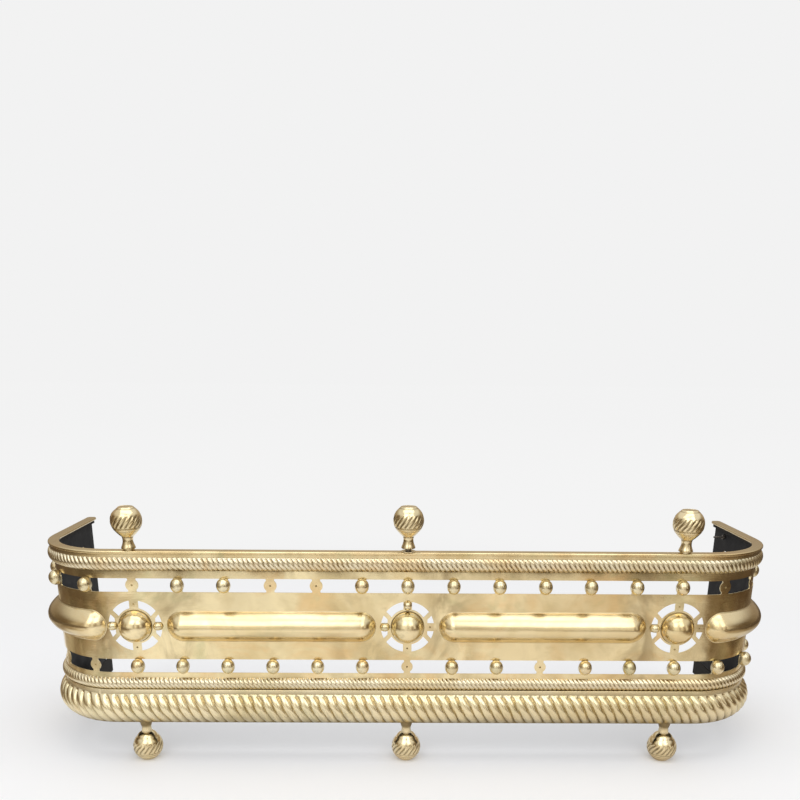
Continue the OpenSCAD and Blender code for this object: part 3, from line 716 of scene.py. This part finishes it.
# Top rail --------
def hand_rail():
    """A flat bar with rounded edges and rounded ends, on a web that is black inside."""
    low, quarter = Z_RAIL - RAIL_THICK, math.pi / 2
    profile = arc(RAIL_IN + RAIL_EDGE, low + RAIL_EDGE, RAIL_EDGE, -2 * quarter, -quarter, 6)
    profile += arc(RAIL_OUT - RAIL_EDGE, low + RAIL_EDGE, RAIL_EDGE, -quarter, 0, 8)
    profile += arc(RAIL_OUT - RAIL_EDGE, Z_RAIL - RAIL_EDGE, RAIL_EDGE, 0, quarter, 8)
    profile += [(o, Z_RAIL) for o in (2.0, -1.0, -4.5)]
    profile += arc(RAIL_IN + RAIL_EDGE, Z_RAIL - RAIL_EDGE, RAIL_EDGE, quarter, 2 * quarter, 6)
    o_mid, z_mid, half = (RAIL_IN + RAIL_OUT) / 2, (low + Z_RAIL) / 2, (RAIL_OUT - RAIL_IN) / 2

    # Each column of points has its s, and the shares of the full width and height it keeps
    overhang = 7.0
    last = PATH_END + overhang - half
    half_path = [s for s in stations(flat_step=12.0, arc_step=2.5) if -0.01 < s < last - 0.5]
    columns = [(s, 1.0, 1.0) for s in half_path + [last]]
    for degrees in (12, 24, 36, 48, 58, 67, 75, 82, 87):
        wide = math.cos(math.radians(degrees))
        reach = half * math.sin(math.radians(degrees))
        columns.append((last + reach, wide, 1 - 0.45 * (1 - wide) ** 2))
    columns = [(-s, wide, high) for s, wide, high in reversed(columns[1:])] + columns
    bag = Bag()
    bag.tube([[bend(s, o_mid + (o - o_mid) * wide, z_mid + (z - z_mid) * high) for o, z in profile]
              for s, wide, high in columns])

    web_in, web_out, top = -6.5, 4.9, low + 1.0
    web = [(web_in, Z_SHEET), (web_out - 0.3, Z_SHEET), (web_out, Z_SHEET + 1.0), (web_out, top),
           (web_in, top)]
    metal, black = range(2)
    # Painted shade on the web under the rail, most where it meets the sheet.
    bag.sweep(web, cavity=[0.2, 0.5, 0.1, 0.2, 0.2], mats=[black, metal, metal, black, black])
    make("hand_rail", bag, ["brass_rail", "rust_black"], ["top_rail"], angle=40)


hand_rail()


# Bosses --------
BOSS_HALF = 23.0
LONG_BOSS = (71.5, 336.5)
CORNER_BOSS = (475.5, 619.0)


def boss(name, node, s0, s1, side, proud, step):
    """A long boss with round ends, s0 to s1 between the centres of its ends.

    A loop runs round the boss at a given radius from its spine. The loops start behind the foot,
    go round its edge and climb to the crest."""
    half_turn = 28
    turns = [math.pi * i / half_turn for i in range(1, half_turn)]
    k = round((s1 - s0) / step)
    spine = [s0 + (s1 - s0) * i / k for i in range(k + 1)]
    loop = [(s, 0.0, -1.0) for s in spine]
    loop += [(s1, math.sin(a), -math.cos(a)) for a in turns]
    loop += [(s, 0.0, 1.0) for s in reversed(spine)]
    loop += [(s0, -math.sin(a), math.cos(a)) for a in turns]

    # Radius, outward place and painted shade with grime of each loop, darkest round the foot; the
    # first and the last close to a line
    line, foot = 0.02, 1.5
    rings = [(line, -0.4, 0.0), (24.6, -0.4, 0.2), (24.6, 0.0, 0.2), (24.1, 0.12, 0.25),
             (23.7, 0.4, 0.35), (23.4, 0.9, 0.35), (23.2, foot, 0.2)]
    steps = 28
    for i in range(1, steps + 1):
        share = math.cos(math.pi / 2 * i / steps) ** 0.85
        rings.append((max(BOSS_HALF * share, line), foot + (proud - foot) * (1 - share * share), 0.0))
    rows = []
    for radius, o, _ in rings:
        row = []
        for s, ds, dz in loop:
            dent = 0.25 * noise.noise((s * 0.02, dz * 1.3, 4.0 + side)) if o > 2.0 else 0.0
            row.append(bend((s + ds * radius) * side, o + dent, Z_MID + dz * radius))
        rows.append(row)
    bag = Bag()
    bag.skin(rows, [[shade_and_grime] * len(loop) for _, _, shade_and_grime in rings], [0] * len(loop))
    make(name, bag, ["brass_boss"], [node], angle=60, merge=4.5e-5)


for place, side in (("left", -1), ("right", 1)):
    boss("boss_long_" + place, "long_boss_" + place, *LONG_BOSS, side, proud=18.6, step=8.0)
for place, side in (("left", -1), ("right", 1)):
    boss("boss_corner_" + place, "corner_boss_" + place, *CORNER_BOSS, side, proud=18.2, step=2.5)


# Domes, studs and beads, turned about the outward direction --------
def dome(place, s):
    """A half ball on a narrow rim, with painted shade and grime where the two meet."""
    rim, radius, high, steps = 25.6, 24.4, 24.0, 28
    profile = [(rim, 0.0), (rim, 0.4), (25.2, 0.6), (24.7, 0.6)]
    cavity = [0.8, 0.6, 0.8, 1.0]
    for i in range(1, steps + 1):
        a = math.radians(1 + 89 * i / steps)
        profile.append((max(radius * math.cos(a), 0.05), high * math.sin(a)))
        cavity.append(max(0.0, 0.8 - 0.3 * i))
    bag = Bag()
    bag.lathe(profile, outward_putter(s, Z_MID), 72, cavity)
    make("dome_" + place, bag, ["brass_boss"], ["rosette_dome_" + place], angle=60)


for place, (s0, _) in zip(("left", "centre", "right"), ROSETTES):
    dome(place, s0)


# The tail of a stud or bead, in its hole and spread behind the sheet
TAIL = ((0.03, -3.3), (1.8, -3.2), (2.9, -2.5), (3.0, -1.65), (1.6, -1.62))


def stud_row(name, node, z, lost):
    """The studs of one row, each a little tilted and of a slightly different size."""
    radius, steps = 10.2, 23
    # Painted shade at the foot of each stud, fading up its side.
    profile, cavity = [], []
    for i in range(steps + 1):
        a = math.radians(-28 + 118 * i / steps)
        profile.append((max(radius * math.cos(a), 0.03), 4.9 + radius * math.sin(a)))
        cavity.append(max(0.0, 0.8 - i * 0.1))
    bag = Bag()
    for k in range(-LAST_TAB, LAST_TAB + 1):
        if k in lost:
            continue
        tilt = (random.uniform(-0.03, 0.03), random.uniform(-0.03, 0.03))
        wide = random.uniform(0.97, 1.03)
        bag.lathe(profile, outward_putter(k * PITCH, z + 1.2, wide, 1.13, tilt), 36, cavity)
        bag.lathe(TAIL, outward_putter(k * PITCH, z), 16, mat=1)
    make(name, bag, ["brass_stud", "black"], [node], angle=50)


stud_row("stud_row_upper", "studs_upper", Z_UP, UP_LOST)
stud_row("stud_row_lower", "studs_lower", Z_LOW, LOW_LOST)


def beads():
    """The beads left on the spokes; those on level spokes are wider, the others taller."""
    foot, radius, steps = 7.0, 6.85, 14
    profile = [(foot, 0.0), (foot, 0.5), (6.75, 0.9)]
    for i in range(steps + 1):
        a = math.radians(8 + 82 * i / steps)
        profile.append((max(radius * math.cos(a), 0.03), 0.7 + 6.9 * math.sin(a)))
    # Painted shade round the foot of each bead.
    cavity = [0.6, 0.5, 0.9, 0.4] + [0.0] * steps
    bag = Bag()
    for s0, kept in ROSETTES:
        for i in kept:
            wide = 1.1 if i % 2 == 0 else 0.95
            high = 2.05 - wide
            bag.lathe(profile, outward_putter(*spoke_spot(s0, i), wide, high), 28, cavity)
            bag.lathe(TAIL, outward_putter(*spoke_spot(s0, i)), 16, mat=1)
    make("rosette_beads", bag, ["brass_stud", "black"], ["studs_rosette"], angle=50)


beads()


def hole_fillings():
    """Dull brown plugs set just under the face in the pin holes of the bare tabs and spokes."""
    plug = [(1.66, -1.5), (1.66, -0.3), (1.2, -0.4), (0.03, -0.45)]
    spots = [(k * PITCH, Z_UP) for k in UP_LOST] + [(k * PITCH, Z_LOW) for k in LOW_LOST]
    for s0, kept in ROSETTES:
        spots += [spoke_spot(s0, i) for i in range(4) if i not in kept]
    bag = Bag()
    for s, z in spots:
        bag.lathe(plug, outward_putter(s, z), 14)
    make("tab_holes_filled", bag, ["hole_plug"], angle=50)


hole_fillings()


# Base plate --------
def base_plate():
    """An angle inside the foot of the sheet, with an upright lip at the back."""
    lip_out, lip_top, bevel = PLATE_IN + LIP_THICK, Z_FOOT + LIP_HIGH, 0.5
    bag = Bag()
    bag.sweep([(-SHEET_THICK, Z_FOOT), (-SHEET_THICK, Z_PLATE), (lip_out, Z_PLATE),
               (lip_out, lip_top - bevel), (lip_out - bevel, lip_top), (PLATE_IN, lip_top),
               (PLATE_IN, Z_FOOT)], end=PLATE_END)
    make("base_plate_lipped", bag, ["rust_black"], ["base_plate"], angle=30)


base_plate()


# Turned balls, stems and feet --------
def ball_profile(r, up):
    """A ball's (radius, height) points with their normals, and the height of its flat end.

    Heights count from the ball's middle, first the neck and last the flat end, which has a
    groove turned in it. Past 45 degrees either way the ball goes on as a cone."""
    k = math.sqrt(0.5)
    corner = r * k
    low, high = 2 * corner - BALL_NECK, r - BALL_FLAT
    flat_r = 2 * corner - high
    profile = []
    for i in range(9):
        q = i / 9
        full = (0.3 if up > 0 else 1.1) * math.sin(math.pi * q)
        radius = BALL_NECK + (corner - BALL_NECK) * q + k * full
        profile.append((radius, -low + (low - corner) * q - k * full, k, -k))
    for i in range(61):
        a = math.radians(-45 + 90 * i / 60)
        profile.append((r * math.cos(a), r * math.sin(a), math.cos(a), math.sin(a)))
    for i in range(1, 6):
        q = i / 6
        profile.append((corner + (flat_r - corner) * q, corner + (high - corner) * q, k, k))
    profile.append((flat_r, high - 0.35, k, k))
    profile.append((flat_r - 0.35, high, 0.0, 1.0))
    for share, dip in ((0.9, 0.0), (0.87, 0.45), (0.82, 0.5), (0.79, 0.0), (0.5, 0.0), (0.2, 0.0),
                       (0.004, 0.0)):
        profile.append((flat_r * share, high - dip, 0.0, 1.0))
    return profile, high


def ring_depth(z, high, rings):
    """The depth of the fine turned rings, given as (height, half width, depth)."""
    depth = 0.0
    if abs(z) < high - 1.0:
        for place, half, deep in rings:
            q = (z - place) / half
            if abs(q) < 1:
                depth = max(depth, deep * (1 - q * q))
    return depth


def flute_depth(q):
    """The share of a flute's depth at q, 0 to 1 from one flute to the next."""
    return 1 - math.sin(math.pi * min(1.0, q * 1.12)) ** 0.7 if q < 0.893 else 1.0


def swirl_ball(name, node, put, middle, r, up, band, rings, phase, dents=()):
    """A ball with slanted flutes in a band of heights and fine turned rings.

    The neck is below when up is 1 and above when up is -1. dents are (x, y, z, depth, width)."""
    flutes, around, deepest = 18, 168, 1.15
    profile, high = ball_profile(r, up)
    z0, z1 = band
    soft_low, soft_high = (1.2, 5.0) if up > 0 else (5.0, 1.2)
    rows, cavity = [], []
    for x, z, nx, nz in profile:
        ring = ring_depth(z, high, rings)
        fade = max(0.0, min(1.0, (z - z0) / soft_low)) * max(0.0, min(1.0, (z1 - z) / soft_high))
        swirl = phase - up * 0.75 * flutes * (z - z0) / (2 * math.pi * r)
        row, dark_row = [], []
        for j in range(around):
            a = 2 * math.pi * j / around
            flute = deepest * fade * flute_depth((flutes * j / around + swirl) % 1.0)
            px, pz = x - nx * (ring + flute), z - nz * (ring + flute)
            gx, gy = math.cos(a), math.sin(a)
            for dx, dy, dz, deep, wide in dents:
                away = (px * gx - dx) ** 2 + (px * gy - dy) ** 2 + (pz - dz) ** 2
                push = deep * math.exp(-away / (wide * wide))
                px -= nx * push
                pz -= nz * push
            row.append(put(px * gx, px * gy, middle + pz * up))
            # Painted shade in the flutes and the turned rings.
            dark_row.append(min(1.0, ring * 1.9 + flute * 0.85))
        rows.append(row)
        cavity.append(dark_row)
    bag = Bag()
    bag.tube(rows, cavity)
    make(name, bag, ["brass_turned"], [node], angle=40)


def turned(name, node, put, profile, cavity):
    bag = Bag()
    bag.lathe(profile, put, cavity=cavity)
    make(name, bag, ["brass_turned"], [node], angle=40)


def ball_rise(r):
    """The height of a ball's middle above the end of its neck."""
    return r * math.sqrt(2) - BALL_NECK


FINIALS = (("left", -SIDE_S), ("centre", 0.0), ("right", SIDE_S))
FINIAL_RINGS = ((-9.5, 0.7, 0.5), (-11.2, 0.6, 0.4), (-14.4, 0.6, 0.3), (18.2, 0.7, 0.35))
DENTS = {"left": ((-11.0, -4.0, 17.5, 1.8, 7.0), (5.0, -12.0, 17.0, 0.8, 6.0)),
         "centre": (),
         "right": ((-12.0, -9.0, 15.0, 0.7, 5.0),)}
# Radius and height of the stem between its foot and its ball, with the painted shade and grime on it,
# darkest at both ends
STEM = ((9.7, 0.0, 0.7), (10.3, 0.5, 0.2), (10.2, 1.8, 0), (9.6, 3.4, 0), (8.8, 5.4, 0),
        (8.0, 7.7, 0), (7.5, 10.0, 0), (7.35, 12.5, 0), (7.45, 14.2, 0), (7.75, 15.6, 0.2),
        (8.0, 16.4, 0.6))
STEM_HIGH = 17.4
# Radius and height of each washer, and the height of each stem's foot above the rail; the
# middle stem stands on a shoulder of its rod
WASHERS = {"left": (8.25, 2.6), "centre": (11.0, 1.0), "right": (8.25, 2.6)}
STEM_FOOT = {"left": 2.6, "centre": 5.2, "right": 2.6}


def finial(place, x, phase):
    """A ball on a turned stem."""
    put = upright_putter(x, FINIAL_Y)
    low = Z_RAIL + STEM_FOOT[place]
    top = low + STEM_HIGH
    swirl_ball("finial_" + place, "finial_ball_" + place, put, top + ball_rise(FINIAL_R), FINIAL_R,
               1, (-8.8, 9.8), FINIAL_RINGS, phase, DENTS[place])
    profile = [(ROD_R, low)] + [(r, low + h) for r, h, _ in STEM]
    profile += [(BALL_NECK, top + 0.4), (ROD_R, top + 0.4)]
    # Painted shade with grime, darkest at the rod and under the ball.
    turned("stem_" + place, "finial_stem_" + place, put, profile,
           [0.8] + [shade_and_grime for _, _, shade_and_grime in STEM] + [0.9, 0.9])


for i, (place, x) in enumerate(FINIALS):
    finial(place, x, phase=i * 0.37)


def washers():
    """A washer under each stem: a wide thin one in the middle, thicker ones at the sides."""
    bore, bevel = 3.4, 0.3
    bag = Bag()
    for place, x in FINIALS:
        radius, high = WASHERS[place]
        top = Z_RAIL + high
        profile = [(bore, Z_RAIL), (radius - bevel, Z_RAIL), (radius, Z_RAIL + bevel),
                   (radius, top - bevel), (radius - bevel, top), (bore, top)]
        # Painted shade at the bottom edge and round the bore of each washer.
        bag.lathe(profile, upright_putter(x, FINIAL_Y), cavity=[0.9, 0.8, 0.2, 0.2, 0.1, 0.9])
    make("finial_washer_set", bag, ["brass_turned"], ["finial_washers"])


washers()

FOOT_RINGS = ((7.9, 0.8, 0.55), (11.4, 0.7, 0.45), (16.5, 0.7, 0.3))
FOOT_O = -8.3
REAR_FOOT_S = PATH_END - 64.0
# Radius, share of the neck's height and painted shade of its waist, darkest at the top under the base
# moulding
WAIST = ((7.7, 0.1, 0.15), (7.4, 0.2, 0), (7.2, 0.32, 0.1), (7.3, 0.42, 0.3), (7.8, 0.52, 0.7),
         (8.5, 0.62, 1), (9.1, 0.75, 1), (9.5, 0.9, 1))


def foot(place, s, phase):
    """A ball foot that stands on the floor, with a turned neck up to the base."""
    x, y, _ = (1000 * c for c in bend(s, FOOT_O, 0.0))
    put = upright_putter(x, y + Y_MIDDLE)
    middle = FOOT_R - BALL_FLAT
    swirl_ball("foot_" + place, "foot_ball_" + place, put, middle, FOOT_R, -1, (-9.5, 7.0),
               FOOT_RINGS, phase)
    low = middle + ball_rise(FOOT_R)
    high = Z_FOOT - low
    profile = [(ROD_R, low - 0.4), (BALL_NECK, low - 0.4), (BALL_NECK, low + 0.6)]
    profile += [(r, low + high * share) for r, share, _ in WAIST]
    profile += [(9.5, Z_FOOT - 0.8), (9.3, Z_FOOT), (ROD_R, Z_FOOT)]
    # Painted shade, darkest at the top under the base moulding and where the neck meets the ball.
    turned("neck_" + place, "foot_neck_" + place, put, profile,
           [0.8, 0.7, 0.5] + [shade_and_grime for _, _, shade_and_grime in WAIST] + [1, 1, 1])


FEET = (("front_left", -SIDE_S), ("front_centre", 0.0), ("front_right", SIDE_S),
        ("rear_left", -REAR_FOOT_S), ("rear_right", REAR_FOOT_S))
for i, (place, s) in enumerate(FEET):
    foot(place, s, phase=i * 0.41)


# Rods, nuts and bolt keep the frame's own meshes --------
for node in ("finial_rods", "foot_rods", "foot_nuts", "end_bolt", "end_nut"):
    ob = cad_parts[node]
    ob.data.materials.clear()
    ob.data.materials.append(MATS["steel"])


# Camera: its lens and place were worked out from the photograph --------
PICTURE_PX = 800
FOCAL_PX = 801.28
AXIS_ROW_PX = 609.16
SENSOR_MM = 36.0
CAMERA_DOWN, CAMERA_YAW, CAMERA_ROLL = math.radians(17.116), -0.0133, 0.0088
CAMERA_AT = (-0.0267, -1.1452 - Y_MIDDLE / 1000, 0.6023)


def camera():
    """The photograph's camera. Its lens axis meets the picture at AXIS_ROW_PX from the top."""
    cam = bpy.data.cameras.new("camera")
    cam.sensor_width = SENSOR_MM
    cam.lens = FOCAL_PX / PICTURE_PX * SENSOR_MM
    cam.shift_y = (AXIS_ROW_PX - PICTURE_PX / 2) / PICTURE_PX
    cam.clip_end = 60
    eye = bpy.data.objects.new("camera", cam)
    bpy.context.scene.collection.objects.link(eye)
    yaw = Matrix.Rotation(CAMERA_YAW, 3, "Z")
    level = yaw @ Vector((1, 0, 0))
    look = yaw @ Vector((0, math.cos(CAMERA_DOWN), -math.sin(CAMERA_DOWN)))
    above = yaw @ Vector((0, math.sin(CAMERA_DOWN), math.cos(CAMERA_DOWN)))
    right = level * math.cos(CAMERA_ROLL) + above * math.sin(CAMERA_ROLL)
    up = above * math.cos(CAMERA_ROLL) - level * math.sin(CAMERA_ROLL)
    turn = Matrix((right, up, -look)).transposed().to_4x4()
    turn.translation = Vector(CAMERA_AT)
    eye.matrix_world = turn
    bpy.context.scene.camera = eye


camera()


# Floor --------
WHITE = (1.0, 1.0, 1.0)
PAPER = (0.965, 0.968, 0.985)
FLOOR_GLOW = 0.12
# What polished metal mirrors of the floor at each side; 1 is 2 m from the middle
FLOOR_SIDE = [(0.38, WHITE), (0.45, (0.56, 0.47, 0.34)), (0.48, (0.22, 0.15, 0.09)),
              (0.51, (0.62, 0.55, 0.42)), (0.56, (0.5, 0.41, 0.28)), (0.60, (0.14, 0.1, 0.06)),
              (0.63, (0.12, 0.08, 0.05)), (0.66, (0.4, 0.34, 0.25)), (0.7, (0.12, 0.08, 0.05)),
              (1.0, (0.22, 0.17, 0.12))]
# The same in front; 1 is 3.3 m in front of the frame's origin
FLOOR_FRONT = [(0.36, WHITE), (0.6, (0.86, 0.83, 0.78)), (1.0, (0.84, 0.81, 0.75))]


def mirrored_floor(nt, co):
    """The floor's colour as polished metal mirrors it: pale in front, dark with glints beside."""
    x, y, _ = separate(nt, co)
    blur = math_node(nt, "SUBTRACT", noise_tex(nt, co, 3.0, 2.0, 0.5, 0.5), 0.5)
    blur = math_node(nt, "MULTIPLY", blur, 0.9)
    wide = math_node(nt, "ADD", math_node(nt, "ABSOLUTE", x), blur)
    near = math_node(nt, "ADD", math_node(nt, "MULTIPLY", y, -1.0), blur)
    side = ramp(nt, math_node(nt, "MULTIPLY", wide, 0.5, True), FLOOR_SIDE)
    front = ramp(nt, math_node(nt, "MULTIPLY", near, 0.3, True), FLOOR_FRONT)
    clouds = noise_tex(nt, mapped(nt, co, (1, 0.6, 1), (0.35, 0.2, 0)), 4.2, 2.0, 0.5, 0.9)
    clouds = ramp(nt, clouds, [(0.36, 0.74), (0.47, 1.0)])
    front = mix_colour(nt, 1.0, front, clouds, "MULTIPLY")
    across = math_node(nt, "ADD", math_node(nt, "MULTIPLY", x, 0.5), 0.5)
    to_right = ramp(nt, across, [(0.4, WHITE), (0.7, (0.84, 0.8, 0.76))])
    front = mix_colour(nt, 1.0, front, to_right, "MULTIPLY")
    return mix_colour(nt, 1.0, side, front, "MULTIPLY")


def stage_floor():
    """Pale paper. For the camera it glows a little and melts into the backdrop far out."""
    reach, front, back = 14, -8, 22
    corners = [(-reach, front, 0), (reach, front, 0), (reach, back, 0), (-reach, back, 0)]
    me = bpy.data.meshes.new("floor")
    me.from_pydata(corners, [], [(0, 1, 2, 3)])
    ob = bpy.data.objects.new("floor", me)
    bpy.context.scene.collection.objects.link(ob)
    nt, sh = nodes_of("floor_paper")
    out = next(n for n in nt.nodes if n.type == "OUTPUT_MATERIAL")
    sh.inputs["Roughness"].default_value = 0.9
    sh.inputs["Specular IOR Level"].default_value = 0.0
    co = coordinates(nt)
    path = nt.nodes.new("ShaderNodeLightPath")
    colour = mix_colour(nt, path.outputs["Is Glossy Ray"], PAPER, mirrored_floor(nt, co))
    nt.links.new(colour, sh.inputs["Base Color"])
    length = nt.nodes.new("ShaderNodeVectorMath")
    length.operation = "LENGTH"
    nt.links.new(co, length.inputs[0])
    distance = length.outputs["Value"]
    far = nt.nodes.new("ShaderNodeMapRange")
    far.interpolation_type = "SMOOTHSTEP"
    far.inputs["From Min"].default_value = 0.75
    far.inputs["From Max"].default_value = 1.7
    far.inputs["To Min"].default_value = FLOOR_GLOW
    nt.links.new(distance, far.inputs["Value"])
    glow = nt.nodes.new("ShaderNodeEmission")
    fall = ramp(nt, math_node(nt, "DIVIDE", distance, 8.0, True),
                [(0.09, 0.9216), (0.2, 0.905), (1.0, 0.892)])
    nt.links.new(fall, glow.inputs[0])
    share = math_node(nt, "MULTIPLY", far.outputs[0], path.outputs["Is Camera Ray"])
    nt.links.new(mix_shader(nt, share, sh.outputs[0], glow.outputs[0]), out.inputs[0])
    me.materials.append(MATS["floor_paper"])


stage_floor()


# Lights --------
def softbox(name, place, target, wide, high, radiance):
    light = bpy.data.lights.new(name, "AREA")
    light.shape = "RECTANGLE"
    light.size, light.size_y = wide, high
    light.energy = radiance * math.pi * wide * high
    ob = bpy.data.objects.new(name, light)
    bpy.context.scene.collection.objects.link(ob)
    ob.location = place
    ob.rotation_euler = (Vector(target) - Vector(place)).to_track_quat("-Z", "Y").to_euler()
    ob.visible_camera = False


softbox("box_left", (-0.75, -1.75, 1.95), (0, -0.1, 0.2), 1.3, 1.5, 1.42)
softbox("box_right", (0.85, -1.75, 1.95), (0, -0.1, 0.2), 1.2, 1.5, 1.22)
softbox("box_top", (0.0, -0.3, 2.4), (0, 0, 0.2), 2.4, 1.2, 1.25)

BACKDROP = (0.888, 0.888, 0.888)
FILL = 0.72
CEILING = (0.84, 0.84, 0.83)
# What polished metal mirrors above the floor, in degrees from straight ahead of the fender,
# minus to its left: pale stretches with warm darks between them
SURROUND = (
    (-180, (0.5, 0.43, 0.33)), (-130, (0.42, 0.34, 0.24)), (-100, (0.17, 0.12, 0.07)),
    (-78, (0.2, 0.14, 0.08)), (-66, (0.62, 0.56, 0.44)), (-56, (0.3, 0.23, 0.15)),
    (-46, (0.78, 0.74, 0.64)), (-32, (1.1, 1.1, 1.06)), (-20, (0.98, 0.96, 0.9)),
    (-5, (0.95, 0.93, 0.88)), (-1, (0.36, 0.3, 0.22)), (5, (0.3, 0.24, 0.17)),
    (9, (0.9, 0.87, 0.8)), (20, (0.9, 0.87, 0.8)), (27, (0.36, 0.29, 0.2)),
    (40, (0.28, 0.21, 0.14)), (47, (0.95, 0.92, 0.84)), (55, (0.9, 0.87, 0.78)),
    (62, (0.2, 0.14, 0.08)), (90, (0.13, 0.09, 0.05)), (125, (0.4, 0.32, 0.23)),
    (180, (0.5, 0.43, 0.33)))


def background(nt, colour, strength=1.0):
    node = nt.nodes.new("ShaderNodeBackground")
    feed(nt, node.inputs[0], colour)
    node.inputs[1].default_value = strength
    return node.outputs[0]


def studio_world():
    """A plain backdrop for the camera, a varied one for mirrored rays, an even fill for the rest."""
    world = bpy.data.worlds.new("studio")
    bpy.context.scene.world = world
    world.use_nodes = True
    nt = world.node_tree
    nt.nodes.clear()
    x, y, z = separate(nt, coordinates(nt, "Generated"))
    turn = math_node(nt, "ARCTAN2", x, math_node(nt, "MULTIPLY", y, -1.0))
    turn = math_node(nt, "ADD", math_node(nt, "MULTIPLY", turn, 0.5 / math.pi), 0.5)
    around = ramp(nt, turn, [((degrees + 180) / 360, colour) for degrees, colour in SURROUND])
    # The ceiling fades in where the direction rises from 0.3 to about 0.6
    high = math_node(nt, "MULTIPLY", math_node(nt, "SUBTRACT", z, 0.3), 3.5, True)
    around = mix_colour(nt, high, around, CEILING)
    path = nt.nodes.new("ShaderNodeLightPath")
    unseen = mix_shader(nt, path.outputs["Is Glossy Ray"], background(nt, WHITE, FILL),
                        background(nt, around))
    shown = mix_shader(nt, path.outputs["Is Camera Ray"], unseen, background(nt, BACKDROP))
    out = nt.nodes.new("ShaderNodeOutputWorld")
    nt.links.new(shown, out.inputs[0])


studio_world()
bpy.context.scene.view_settings.view_transform = "Standard"
